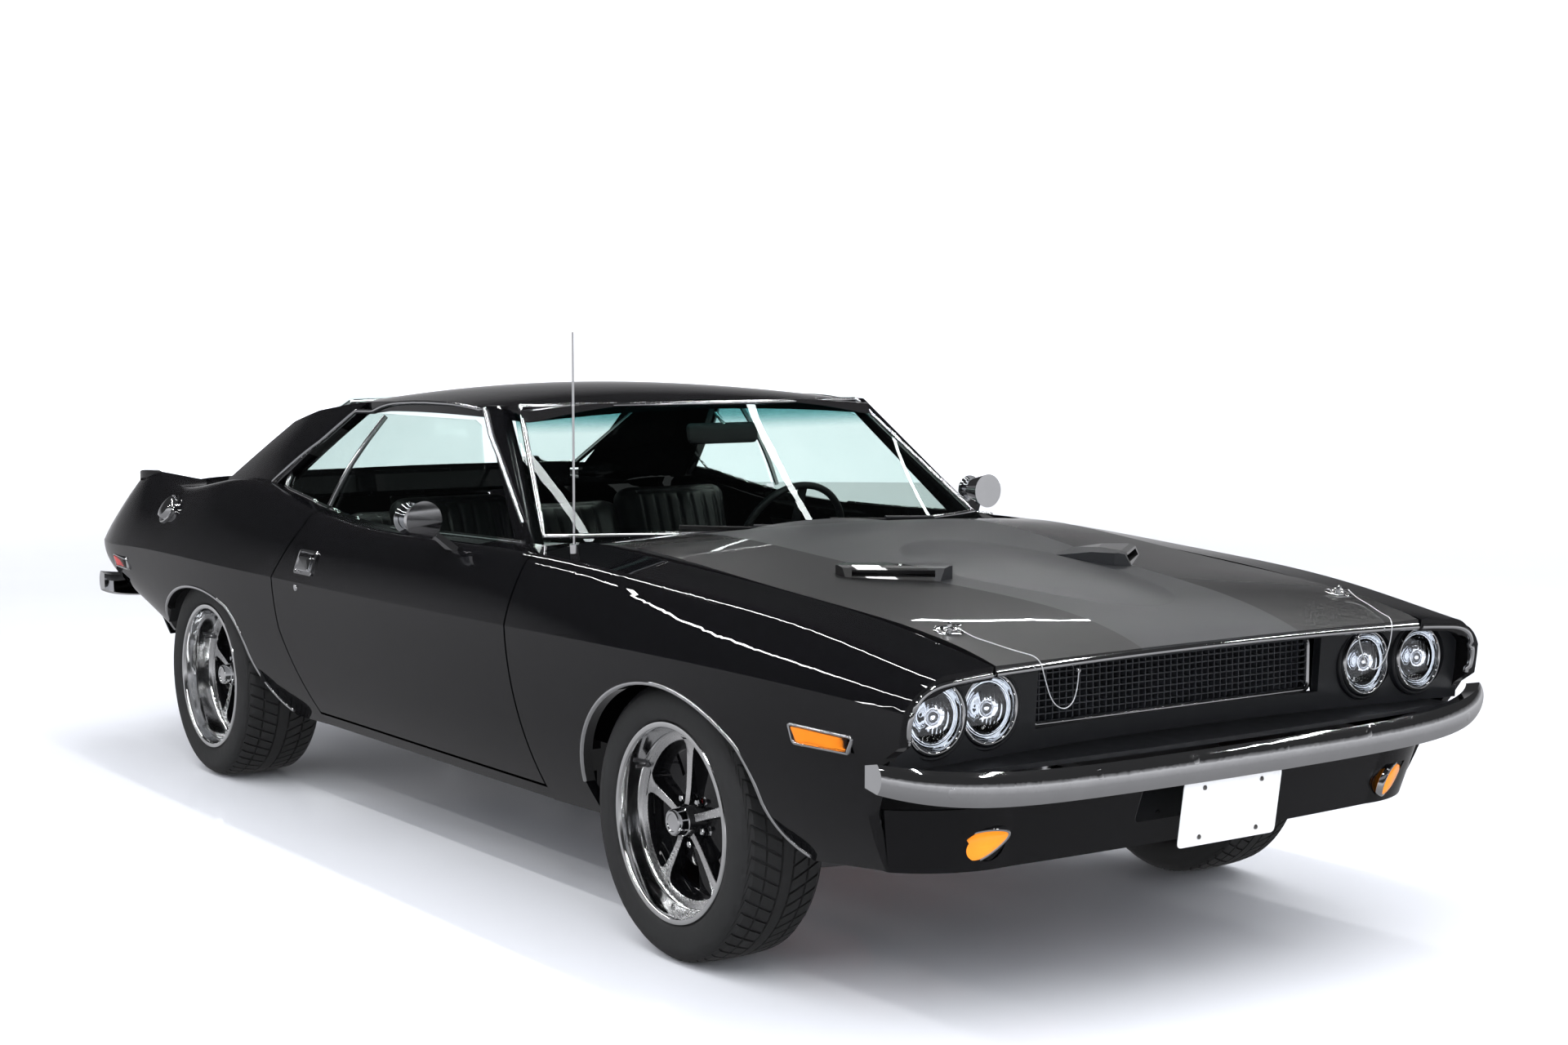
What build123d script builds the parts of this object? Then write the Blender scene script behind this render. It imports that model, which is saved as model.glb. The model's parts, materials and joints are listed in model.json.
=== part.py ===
"""Two-door hardtop muscle car, modelled as separate panels, glass, running gear and cabin pieces.

Frame: +X towards the nose, +Y towards the car's left, +Z up, origin on the floor under the middle
of the overall length. All sizes are in millimetres.
"""

import math
import os

from build123d import *

# Driving dimensions
HALF_WIDTH = 962.0
WHEELBASE = 2794.0
FRONT_OVERHANG = 945.0
OVERALL_LENGTH = 4860.0
TYRE_RADIUS = 328.0
ROOF_HEIGHT = 1300.0
CREASE_HEIGHT = 718.0
SILL_HEIGHT = 262.0
SILL_FLAT = 2.0
SKIN = 28.0
DOOR_THICKNESS = 88.0
PANEL_GAP = 8.0
SEAM = 0.5
FIT = 0.3

# Places along the car
X_FRONT_BUMPER = OVERALL_LENGTH / 2
X_REAR_BUMPER = -X_FRONT_BUMPER
X_FRONT_AXLE = X_FRONT_BUMPER - FRONT_OVERHANG
X_REAR_AXLE = X_FRONT_AXLE - WHEELBASE
X_NOSE = X_FRONT_BUMPER - 65
X_TAIL = X_REAR_BUMPER + 95
X_HOOD_REAR = X_FRONT_AXLE - 625
X_DOOR_FRONT = X_FRONT_AXLE - 673
X_DOOR_REAR_TOP = X_REAR_AXLE + 764
X_DOOR_REAR_WAIST = X_DOOR_REAR_TOP - 100
X_DOOR_REAR_FOOT = X_DOOR_REAR_TOP - 25
X_DOOR_MIDDLE = (X_DOOR_FRONT + X_DOOR_REAR_WAIST) / 2
X_DECK_FRONT = X_REAR_AXLE - 330

# Heights
Z_DOOR_FOOT = SILL_HEIGHT + 42
Z_BELT = 892.0
Z_FLOOR_TOP = SILL_HEIGHT + 14
Z_TRUNK_FLOOR = 468.0
FLOOR_THICKNESS = 12.0

# Wheels: lip is the outer face of the rim, dish is how far the spokes sit behind it
FRONT_LIP_Y = 893.0
REAR_LIP_Y = 899.0
FRONT_RIM_WIDTH = 214.0
REAR_RIM_WIDTH = 252.0
FRONT_DISH = 62.0
REAR_DISH = 98.0
RIM_LIP_RADIUS = 236.0
RIM_WALL = 9.0
TYRE_BULGE = 7.0
SPOKE_COUNT = 5
SPOKE_WIDTH = 13.0
SPOKE_PROUD = 5.0
CAP_LENGTH = 54.0
HUB_BORE = 25.0
STEER_AXIS_Y = 716.0

# Panels
HOOD_THICKNESS = 20.0
HOOD_HALF_REAR = 706.0
HOOD_HALF_FRONT = 664.0
HOOD_HINGE_AHEAD = 160.0
HOOD_REAR_GAP = 18.0
HOOD_PIVOT_Z = 893.0
BULGE_HALF_REAR = 400.0
BULGE_HALF_FRONT = 262.0
BULGE_RISE = 14.0
SCOOP_Y = 385.0
X_SCOOP = X_FRONT_AXLE + 190
Z_SCOOP = 874.0
SCOOP_RISE = 36.0
SCOOP_MOUTH = 112.0
SCOOP_SWEEP = 40.0
DECK_THICKNESS = 20.0
DECK_HALF_FRONT = 690.0
DECK_HALF_REAR = 656.0
DECK_HINGE_BEHIND = 120.0
DECK_PIVOT_Z = 928.0
DECK_REAR_Z = 862.0
DECK_GAP = 12.0
X_TULIP_FRONT = X_DECK_FRONT + 100
ROOF_THICKNESS = 30.0
X_ROOF_FRONT = X_DOOR_FRONT - 508
X_ROOF_REAR = X_REAR_AXLE + 351
GLASS = 6.0
GLASS_TOP = 1208.0
PILLAR = 46.0
PANEL_DEPTH = 22.0
VALANCE_THICKNESS = 12.0
BELT_INNER_Y = 788.0
COWL_HALF = 760.0
NOSE_LEAN = 22.0
X_QUARTER_TIP = X_REAR_AXLE + 295
DIVIDER_TOP_X = X_DOOR_REAR_TOP + 73
DIVIDER_FOOT_X = X_DOOR_REAR_TOP + 27

# Side glass sections. Columns: x, half width at the belt, half width at the roof rail
SIDE_GLASS_ROWS = [
    (X_DOOR_FRONT - 170, 838, 622),
    (X_DOOR_FRONT - 810, 848, 642),
    (X_REAR_AXLE + 291, 832, 618),
]

# Hinges
PIN_RADIUS = 6.0
DOOR_HINGE_BEHIND = 75.0
DOOR_HINGE_INSET = 31.0
HINGE_HEIGHTS = (678.0, 738.0)
POST_Y = 776.0
KICK_Y = 702.0

# Lamps and grille
LAMP_Z = 671.0
LAMP_RADIUS = 82.0
HEADLAMPS = [(X_NOSE - 90, 753.0), (X_NOSE - 113, 589.0)]
GRILLE_HALF = 443.0
GRILLE_LOW = 611.0
GRILLE_HIGH = 742.0
GRILLE_FRAME = 9.0
Z_FILLER = 566.0
GRILLE_BARS = 26
GRILLE_ROWS = 5
PARKING_Y = 618.0
PARKING_Z = 394.0
PARKING_RADIUS = 38.0
PARKING_TAIL = (75.0, 34.0)
MARKER_PROUD = 4.0
PLATE_HOLE_SPACING = 178.0
PLATE_HOLE_RADIUS = 3.5
PLATE_HOLE_Z = 452.0
TAIL_LAMP_IN = 250.0
TAIL_LAMP_OUT = 690.0
TAIL_LAMP_LOW = 690.0
TAIL_LAMP_HIGH = 810.0

# Floor and structure
FLOOR_HALF = HALF_WIDTH - 151 - DOOR_THICKNESS - SEAM
X_FIREWALL = X_DOOR_FRONT - 105
X_KICK_UP = X_REAR_AXLE + 510
X_TRUNK_REAR = X_TAIL + 42
X_SHELF_FRONT = X_REAR_AXLE + 190
Z_SHELF = 925.0
SHELF_HALF = 600.0
TUNNEL_Z = 300.0
TUNNEL_RADIUS = 165.0
HOUSING_Y = 598.0
HOUSING_RADIUS = 371.0
HOUSING_MARGIN = 20.0
HOUSING_REACH = 545.0
RAIL_Y = 455.0
Z_RAIL = 325.0
X_RAIL_FRONT = X_NOSE - 175

# Running gear
ARM_OFFSET = 128.0
ROTOR_Y = STEER_AXIS_Y + 26
ROTOR_WIDTH = 24.0
AXLE_TUBE = 38.0
DIFF_RADIUS = 118.0
SHAFT_RADIUS = 38.0
SPRING_Y = 558.0
SPRING_Z = 272.0
X_SPRING_FRONT = X_REAR_AXLE + 600
X_SPRING_REAR = X_REAR_AXLE - 640
X_ENGINE_REAR = X_FRONT_AXLE - 540
ENGINE_LENGTH = 640.0
ENGINE_HALF = 250.0
Z_ENGINE_TOP = 785.0
X_GEARBOX_REAR = X_FIREWALL - 380
GEARBOX_RADIUS = 120.0
EXHAUST_Y = 240.0
EXHAUST_Z = 226.0
PIPE_RADIUS = 27.0
X_TANK = X_TAIL + 146

# Cabin
DASH_HALF = 688.0
WHEEL_X = X_FIREWALL - 537
WHEEL_Y = 395.0
WHEEL_Z = 815.0
STEERING_RADIUS = 186.0
COLUMN_LENGTH = 480.0
SEAT_X = X_DOOR_REAR_TOP + 65
SEAT_Y = 402.0
SEAT_HALF = 228.0
SEAT_HEIGHT = 640.0
REAR_SEAT_HALF = 560.0


def export(name, shape):
    export_step(shape, os.path.join("parts", name + ".step"))


def mirrored(shape):
    """The same piece on the car's right side."""
    return mirror(shape, about=Plane.XZ)


def both(shape):
    """A piece and its mirror image as one node of two solids."""
    return Compound(children=[*shape.solids(), *mirrored(shape).solids()])


def box(x, y, z):
    """A box from three pairs of ends."""
    size = [abs(end - start) for start, end in (x, y, z)]
    low = [min(pair) for pair in (x, y, z)]
    return Pos(*low) * Box(*size, align=(Align.MIN, Align.MIN, Align.MIN))


def cylinder_y(x, y, z, radius):
    """A cylinder along Y from y[0] to y[1]."""
    turned = Pos(x, y[0], z) * Rot(-90, 0, 0)
    return turned * Cylinder(radius, y[1] - y[0], align=(Align.CENTER, Align.CENTER, Align.MIN))


def cylinder_x(x, y, z, radius):
    """A cylinder along X from x[0] to x[1]."""
    turned = Pos(x[0], y, z) * Rot(0, 90, 0)
    return turned * Cylinder(radius, x[1] - x[0], align=(Align.CENTER, Align.CENTER, Align.MIN))


def cylinder_z(x, y, z, radius):
    """A cylinder along Z from z[0] to z[1]."""
    return Pos(x, y, z[0]) * Cylinder(radius, z[1] - z[0], align=(Align.CENTER, Align.CENTER, Align.MIN))


def side_prism(points, y):
    """A side view outline of (x, z) points, extruded from y[0] to y[1]."""
    outline = Polyline(*[(px, y[0], pz) for px, pz in points], close=True)
    return extrude(make_face(outline), amount=y[1] - y[0], dir=(0, 1, 0))


def plan_prism(points, z):
    """A plan outline of (x, y) points, extruded from z[0] to z[1]."""
    outline = Polyline(*[(px, py, z[0]) for px, py in points], close=True)
    return extrude(make_face(outline), amount=z[1] - z[0], dir=(0, 0, 1))


def bowed(start, end, bulge):
    """An arc in a YZ section from start to end, bulging to the left of its direction."""
    (y0, z0), (y1, z1) = start, end
    length = math.hypot(y1 - y0, z1 - z0)
    across = ((y1 - y0) / length, (z1 - z0) / length)
    return ((y0 + y1) / 2 + across[1] * bulge, (z0 + z1) / 2 - across[0] * bulge)


# Body side sections, nose to tail. Columns: x, sill inset and height, crease inset and height,
# shoulder inset and height, top edge inset and height; insets are from the half width.
BODY_SECTIONS = [
    (X_NOSE, 162, 345, 74, CREASE_HEIGHT - 18, 147, 770, 302, 779),
    (X_FRONT_AXLE + 515, 150, 322, 27, CREASE_HEIGHT + 4, 124, 826, 298, 839),
    (X_FRONT_AXLE, 147, 285, 10, CREASE_HEIGHT + 10, 104, 866, 287, 884),
    (X_DOOR_FRONT, 150, SILL_HEIGHT, 10, CREASE_HEIGHT + 4, 80, 896, 262, 920),
    (X_DOOR_MIDDLE, 150, SILL_HEIGHT, 10, CREASE_HEIGHT - 2, 78, Z_BELT, 162, 900),
    (X_DOOR_REAR_WAIST, 150, SILL_HEIGHT, 7, CREASE_HEIGHT - 2, 98, 925, 172, 936),
    (X_REAR_AXLE + 310, 147, SILL_HEIGHT, 0, CREASE_HEIGHT, 120, 972, 190, 980),
    (X_REAR_AXLE, 147, 290, 0, CREASE_HEIGHT + 2, 132, 968, 262, 976),
    (X_REAR_AXLE - 590, 162, 430, 22, CREASE_HEIGHT - 6, 157, 926, 282, 936),
    (X_TAIL, 192, 545, 82, CREASE_HEIGHT - 18, 192, 866, 302, 878),
]
LOWER_BULGE = 30.0
UPPER_BULGE = 7.0
SHOULDER_RADIUS = 26.0


def side_section(row, wall):
    """One closed section of the body side: the outside from sill to top edge, then back inside the wall."""
    x, sill_in, sill_z, crease_in, crease_z, shoulder_in, shoulder_z, top_in, top_z = row

    def path(inset, drop):
        sill = (HALF_WIDTH - sill_in - inset, sill_z)
        crease = (HALF_WIDTH - crease_in - inset, crease_z)
        corner = (HALF_WIDTH - shoulder_in - inset, shoulder_z - drop)
        top = (HALF_WIDTH - top_in, top_z - drop)
        rise = math.hypot(corner[0] - crease[0], corner[1] - crease[1])
        run = math.hypot(top[0] - corner[0], top[1] - corner[1])
        below = [c + (a - c) * SHOULDER_RADIUS / rise for a, c in zip(crease, corner)]
        beyond = [c + (a - c) * SHOULDER_RADIUS / run for a, c in zip(top, corner)]
        middle = [0.35 * c + 0.325 * (a + b) for a, b, c in zip(below, beyond, corner)]
        return sill, crease, below, middle, beyond, top

    def at(point):
        return Vector(x, point[0], point[1])

    sill, crease, below, middle, beyond, top = path(0, 0)
    sill_i, crease_i, below_i, middle_i, beyond_i, top_i = path(wall, SKIN)
    edges = [
        ThreePointArc(at(sill), at(bowed(sill, crease, LOWER_BULGE)), at(crease)),
        ThreePointArc(at(crease), at(bowed(crease, below, UPPER_BULGE)), at(below)),
        ThreePointArc(at(below), at(middle), at(beyond)),
        Line(at(beyond), at(top)),
        Line(at(top), at(top_i)),
        Line(at(top_i), at(beyond_i)),
        ThreePointArc(at(beyond_i), at(middle_i), at(below_i)),
        ThreePointArc(at(below_i), at(bowed(crease_i, below_i, UPPER_BULGE)), at(crease_i)),
        ThreePointArc(at(crease_i), at(bowed(sill_i, crease_i, LOWER_BULGE)), at(sill_i)),
        Line(at(sill_i), at(sill)),
    ]
    return Wire(edges)


def side_shell(wall):
    """The whole left body side, nose to tail, as one wall of that thickness."""
    return Solid.make_loft([side_section(row, wall) for row in BODY_SECTIONS])


def crowned_panel(rows, thickness):
    """A panel across the car from rows of x, half width, edge height and crown height."""
    wires = []
    for x, half, edge_z, crown_z in rows:
        left, right = (x, half, edge_z), (x, -half, edge_z)
        left_in, right_in = (x, half, edge_z - thickness), (x, -half, edge_z - thickness)
        wires.append(
            Wire(
                [
                    ThreePointArc(left, (x, 0, crown_z), right),
                    Line(right, right_in),
                    ThreePointArc(right_in, (x, 0, crown_z - thickness), left_in),
                    Line(left_in, left),
                ]
            )
        )
    return Solid.make_loft(wires)


def screen(base, top, thickness):
    """A curved sheet between two plan arcs, each z, middle x, end x and half width, thickened along X."""
    wires = []
    for z, middle_x, end_x, half in (base, top):
        left, right = (end_x, half, z), (end_x, -half, z)
        left_in, right_in = (end_x + thickness, half, z), (end_x + thickness, -half, z)
        wires.append(
            Wire(
                [
                    ThreePointArc(left, (middle_x, 0, z), right),
                    Line(right, right_in),
                    ThreePointArc(right_in, (middle_x + thickness, 0, z), left_in),
                    Line(left_in, left),
                ]
            )
        )
    return Solid.make_loft(wires, ruled=True)


def pillar(base_z, base_points, top_z, top_points):
    """A straight pillar between two level outlines of (x, y) points."""
    base = Polyline(*[(x, y, base_z) for x, y in base_points], close=True)
    top = Polyline(*[(x, y, top_z) for x, y in top_points], close=True)
    return Solid.make_loft([Wire(base.edges()), Wire(top.edges())], ruled=True)


def bumper_bar(rows, depth):
    """A bumper blade from rows of y, front x, low z and high z, with a rounded face towards +X or -X."""
    crown = math.copysign(14.0, depth)
    wires = []
    for y, x, low, high in rows:
        middle = (low + high) / 2
        wires.append(
            Wire(
                [
                    ThreePointArc((x, y, low), (x + crown, y, middle), (x, y, high)),
                    Line((x, y, high), (x - depth, y, high - 8)),
                    Line((x - depth, y, high - 8), (x - depth, y, low + 8)),
                    Line((x - depth, y, low + 8), (x, y, low)),
                ]
            )
        )
    return Solid.make_loft(wires)


def turned_y(points):
    """A ring turned about the Y axis from (y, radius) points."""
    outline = Polyline(*[(radius, y, 0) for y, radius in points], close=True)
    return revolve(make_face(outline), axis=Axis.Y, revolution_arc=360)


def lamp_lens(radius, depth):
    """A round lamp about the X axis with a gently domed face, its rim at x = 0."""
    rim, crown = (0, radius, 0), (radius * 0.2, 5, 0)
    middle = (radius * 0.15, radius / 2, 0)
    back = [rim, (-depth, radius, 0), (-depth, 0, 0), (radius * 0.2, 0, 0), crown]
    outline = [ThreePointArc(crown, middle, rim), Polyline(*back)]
    return revolve(make_face(outline), axis=Axis.X, revolution_arc=360)


def tube(points, radius):
    """A bent tube along straight runs with mitred bends."""
    start = Plane(origin=points[0], z_dir=Vector(*points[1]) - Vector(*points[0]))
    return sweep(start * Circle(radius), path=Polyline(*points), transition=Transition.RIGHT)


def largest(shape):
    """The biggest solid of a trimmed piece."""
    return max(shape.solids(), key=lambda solid: solid.volume)


# Wheel openings in side view, from rear to front: three points of the flat arc over the wheel, two of
# the front corner and two of the swept leg. Columns: distance ahead of the axle, height over the axle.
FRONT_ARCH = [(-430, 25), (20, 327), (315, 229), (350, 166), (359, 107), (388, 44), (457, -5)]
REAR_ARCH = [(-480, 96), (31, 294), (265, 257), (322, 207), (349, 135), (384, 34), (508, -58)]
ARCH_FOOT = 60.0


def wheel_arch(axle_x, table, y, margin=0.0):
    """The wheel opening, grown by a margin: a flat arc, a front corner and a long swept front leg."""
    middle = (table[0][0] + table[-1][0]) / 2
    points = []
    for ahead, over in table:
        outward = margin if ahead > middle else -margin
        points.append(Vector(axle_x + ahead + outward, y[0], TYRE_RADIUS + over + margin))
    front_foot = Vector(points[6].X + 100, y[0], ARCH_FOOT)
    rear_foot = Vector(points[0].X + 40, y[0], ARCH_FOOT)
    edges = [
        ThreePointArc(*points[0:3]),
        ThreePointArc(*points[2:5]),
        ThreePointArc(*points[4:7]),
        Line(points[6], front_foot),
        Line(front_foot, rear_foot),
        Line(rear_foot, points[0]),
    ]
    return extrude(make_face(edges), amount=y[1] - y[0], dir=(0, 1, 0))


def door_rear_edge(offset):
    """The door's rear edge in side view, moved forward by offset, as (x, z) points from top to foot."""
    return [
        (X_DOOR_REAR_TOP + offset, 1000),
        (X_DOOR_REAR_TOP + offset, Z_BELT),
        (X_DOOR_REAR_WAIST + offset, CREASE_HEIGHT),
        (X_DOOR_REAR_WAIST + offset, 560),
        (X_DOOR_REAR_FOOT + offset, Z_DOOR_FOOT),
        (X_DOOR_REAR_FOOT + offset, 100),
    ]


Y_SIDE = (560.0, 1100.0)
half_gap = PANEL_GAP / 2


def hood_half(x):
    """Half width of the hood opening at x."""
    share = (x - X_HOOD_REAR) / (X_NOSE - X_HOOD_REAR)
    return HOOD_HALF_REAR + (HOOD_HALF_FRONT - HOOD_HALF_REAR) * share


def deck_half(x):
    """Half width of the deck lid opening at x."""
    share = (x - X_TULIP_FRONT) / (X_TAIL - X_TULIP_FRONT)
    return DECK_HALF_FRONT + (DECK_HALF_REAR - DECK_HALF_FRONT) * share


def plan_between(half, x0, x1, inset, z=(100.0, 1400.0)):
    """The space over the car's middle from x0 to x1, inside half(x) less an inset."""
    corners = [
        (x0, half(x0) - inset),
        (x1, half(x1) - inset),
        (x1, inset - half(x1)),
        (x0, inset - half(x0)),
    ]
    return plan_prism(corners, z)


thin_side = side_shell(SKIN)
thick_side = side_shell(DOOR_THICKNESS)

# Doors, quarters, rockers and fenders, cut from the same body side
door_outline = side_prism(
    [
        (X_DOOR_FRONT - half_gap, 1000),
        *[point for point in door_rear_edge(half_gap) if point[1] >= Z_DOOR_FOOT],
        (X_DOOR_FRONT - half_gap, Z_DOOR_FOOT),
    ],
    Y_SIDE,
)
belt_recess = box((X_DOOR_FRONT - 750, X_NOSE), (0, BELT_INNER_Y), (CREASE_HEIGHT + 120, 1100))
door = (thick_side & door_outline) - belt_recess

rear_region = side_prism([*door_rear_edge(-half_gap), (X_TAIL - 50, 100), (X_TAIL - 50, 1000)], Y_SIDE)
deck_opening = plan_between(deck_half, X_TULIP_FRONT, X_TAIL - 60, 0)
quarter_side = (thin_side & rear_region) - wheel_arch(X_REAR_AXLE, REAR_ARCH, Y_SIDE) - deck_opening

rocker_ends = (X_DOOR_REAR_FOOT - half_gap + SEAM, X_DOOR_FRONT + half_gap - SEAM)
rocker = thick_side & box(rocker_ends, Y_SIDE, (SILL_HEIGHT + SILL_FLAT, Z_DOOR_FOOT - PANEL_GAP))

front_region = side_prism(
    [
        (X_DOOR_FRONT + half_gap, 100),
        (X_DOOR_FRONT + half_gap, 1000),
        (X_NOSE, 1000),
        (X_NOSE, 776),
        (X_NOSE - NOSE_LEAN, 630),
        (X_NOSE - 62, 604),
        (X_NOSE - 150, 470),
        (X_NOSE - 215, 100),
    ],
    Y_SIDE,
)
hood_opening = plan_between(hood_half, X_DOOR_FRONT, X_NOSE + 60, 0)
fender = (thin_side & front_region) - wheel_arch(X_FRONT_AXLE, FRONT_ARCH, Y_SIDE) - hood_opening

# Side marker lamps, each filling a window in the body side and standing a little proud of it.
# Columns: distance ahead of the axle, height, of each corner
FRONT_MARKER = [(524, 597), (536, 639), (716, 639), (728, 602)]
REAR_MARKER = [(-826, 622), (-818, 664), (-668, 668), (-656, 624)]
proud_side = Pos(0, MARKER_PROUD, 0) * thin_side
front_marker_outline = side_prism([(X_FRONT_AXLE + ahead, z) for ahead, z in FRONT_MARKER], Y_SIDE)
rear_marker_outline = side_prism([(X_REAR_AXLE + ahead, z) for ahead, z in REAR_MARKER], Y_SIDE)
front_marker = proud_side & front_marker_outline
rear_marker = proud_side & rear_marker_outline
fender = fender - front_marker
quarter_side = quarter_side - rear_marker

# Door handles: a plate with a lifting flap, standing on the door skin
handle_x, handle_z = X_DOOR_REAR_TOP + 117, CREASE_HEIGHT + 60
plate = box((handle_x - 60, handle_x + 60), Y_SIDE, (handle_z - 34, handle_z + 34))
flap = box((handle_x - 44, handle_x + 44), Y_SIDE, (handle_z - 6, handle_z + 26))
door = door + (Pos(0, 4, 0) * thin_side & plate)
door = door + (Pos(0, 12, 0) * thin_side & flap)

# Hood, with a raised centre and two scoops, turning on pins from the fenders
hood_rows = [
    (X_HOOD_REAR, HOOD_HALF_REAR + 20, 916, 934),
    (X_FRONT_AXLE, HOOD_HALF_REAR + 20, 882, 906),
    (X_FRONT_AXLE + 515, HOOD_HALF_REAR + 20, 838, 860),
    (X_NOSE - 160, HOOD_HALF_REAR + 20, 812, 830),
    (X_NOSE - 3, HOOD_HALF_REAR + 20, 778, 784),
]
hood_plan = plan_between(hood_half, X_HOOD_REAR, X_NOSE - 3, PANEL_GAP)
hood_skin = crowned_panel(hood_rows, HOOD_THICKNESS) & hood_plan

bulge_rows = [
    (X_HOOD_REAR, BULGE_HALF_REAR, 912, 934 + BULGE_RISE),
    (X_FRONT_AXLE, BULGE_HALF_REAR - 70, 884, 906 + BULGE_RISE),
    (X_FRONT_AXLE + 515, BULGE_HALF_FRONT, 842, 860 + BULGE_RISE),
    (X_NOSE - 165, BULGE_HALF_FRONT - 10, 815, 828),
]


def bulge_section(x, half, edge_z, crown_z):
    """A softly crowned rise across the middle of the hood."""
    left, right = (x, half, edge_z - 8), (x, -half, edge_z - 8)
    return Wire([ThreePointArc(left, (x, 0, crown_z), right), Line(right, left)])


bulge = Solid.make_loft([bulge_section(*row) for row in bulge_rows])


def scoop(sign):
    """A low hood scoop with a swept mouth that looks forward and outward."""
    rise, mouth = SCOOP_RISE, SCOOP_MOUTH
    profile = [(10, 0), (-6, rise - 4), (-22, rise), (-90, rise), (-330, 4), (-330, -14), (10, -14)]
    body = side_prism(profile, (-mouth - 26, mouth + 26))
    corners = [(20, mouth - 10), (-30, mouth + 26), (-340, mouth - 60)]
    corners += [(x, -y) for x, y in corners[::-1]]
    ends = plan_prism(corners, (-40, rise + 20))
    slot = box((-60, 40), (-mouth + 14, mouth - 14), (12, rise - 9))
    place = Pos(X_SCOOP, sign * SCOOP_Y, Z_SCOOP) * Rot(0, 0, sign * SCOOP_SWEEP)
    return place * ((body & ends) - slot)


lowered = [(x, half, edge - HOOD_THICKNESS, crown - HOOD_THICKNESS) for x, half, edge, crown in hood_rows]
under_hood = crowned_panel(lowered, 200)
raised = (bulge + scoop(1) + scoop(-1)) - under_hood
hood = hood_skin + raised
X_HOOD_PIVOT = X_HOOD_REAR + HOOD_HINGE_AHEAD
hood_lug_y = hood_half(X_HOOD_PIVOT) - PANEL_GAP
for sign in (1, -1):
    ends = sorted((sign * (hood_lug_y - 24), sign * hood_lug_y))
    lug = box((X_HOOD_PIVOT - 16, X_HOOD_PIVOT + 16), ends, (HOOD_PIVOT_Z - 14, HOOD_PIVOT_Z + 12))
    bore = cylinder_y(X_HOOD_PIVOT, (ends[0] - 20, ends[1] + 20), HOOD_PIVOT_Z, PIN_RADIUS + FIT)
    hood = (hood + lug) - bore
hood_pin = cylinder_y(X_HOOD_PIVOT, (hood_lug_y - 20, hood_lug_y + 40), HOOD_PIVOT_Z, PIN_RADIUS)
fender = fender + hood_pin

# Deck lid, turning on pins from the quarters, and the panel ahead of it under the rear glass
deck_rows = [
    (X_TULIP_FRONT, DECK_HALF_FRONT + 20, 966, 980),
    (X_REAR_AXLE - 590, DECK_HALF_FRONT + 20, 936, 950),
    (X_TAIL, DECK_HALF_FRONT + 20, 878, 894),
]
deck_sheet = crowned_panel(deck_rows, DECK_THICKNESS)
tulip = deck_sheet & plan_between(deck_half, X_TULIP_FRONT, X_DECK_FRONT + DECK_GAP, SEAM)
shelf = box((X_SHELF_FRONT, X_TULIP_FRONT - 12), (-SHELF_HALF, SHELF_HALF), (Z_SHELF - 12, Z_SHELF))
riser = box((X_TULIP_FRONT - 12, X_TULIP_FRONT + 12), (-SHELF_HALF, SHELF_HALF), (Z_SHELF - 12, 965))
tulip = tulip + shelf + riser
deck_lid = deck_sheet & plan_between(deck_half, X_DECK_FRONT, X_TAIL, PANEL_GAP)
X_DECK_PIVOT = X_DECK_FRONT - DECK_HINGE_BEHIND
deck_lug_y = deck_half(X_DECK_PIVOT) - PANEL_GAP
for sign in (1, -1):
    ends = sorted((sign * (deck_lug_y - 24), sign * deck_lug_y))
    lug = box((X_DECK_PIVOT - 16, X_DECK_PIVOT + 16), ends, (DECK_PIVOT_Z - 14, DECK_PIVOT_Z + 8))
    bore = cylinder_y(X_DECK_PIVOT, (ends[0] - 20, ends[1] + 20), DECK_PIVOT_Z, PIN_RADIUS + FIT)
    deck_lid = (deck_lid + lug) - bore
deck_pin = cylinder_y(X_DECK_PIVOT, (deck_lug_y - 20, deck_lug_y + 40), DECK_PIVOT_Z, PIN_RADIUS)

# Roof, pillars and glass
ROOF_LENGTH = X_ROOF_FRONT - X_ROOF_REAR
ROOF_ROWS = [
    (X_ROOF_FRONT, 592, 1236, 1262),
    (X_ROOF_FRONT - 0.143 * ROOF_LENGTH, 640, 1247, 1284),
    (X_ROOF_FRONT - 0.475 * ROOF_LENGTH, 652, 1250, ROOF_HEIGHT),
    (X_ROOF_FRONT - 0.753 * ROOF_LENGTH, 642, 1238, 1287),
    (X_ROOF_REAR, 606, 1204, 1246),
]
roof = crowned_panel(ROOF_ROWS, ROOF_THICKNESS)

# Sail panel outlines, base to roof. Columns: height, then front and rear corners as x and y, outward bow.
SAIL_ROWS = [
    (940.0, X_QUARTER_TIP, 806, X_TULIP_FRONT - 55, DECK_HALF_FRONT + 26, 10),
    (1090.0, X_QUARTER_TIP + 207, 738, X_TULIP_FRONT + 232, 668, 16),
    (1240.0, X_ROOF_REAR + 358, 650, X_ROOF_REAR - 62, 608, 10),
]


def sail_section(z, front_x, front_y, rear_x, rear_y, bow):
    """One level outline of the sail panel: a bowed outer side and a straight inner side."""
    middle = ((front_x + rear_x) / 2, (front_y + rear_y) / 2 + bow, z)
    front, rear = (front_x, front_y, z), (rear_x, rear_y, z)
    rear_in, front_in = (rear_x + 15, rear_y - PILLAR, z), (front_x + 20, front_y - PILLAR, z)
    return Wire(
        [
            ThreePointArc(front, middle, rear),
            Line(rear, rear_in),
            Line(rear_in, front_in),
            Line(front_in, front),
        ]
    )


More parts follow.
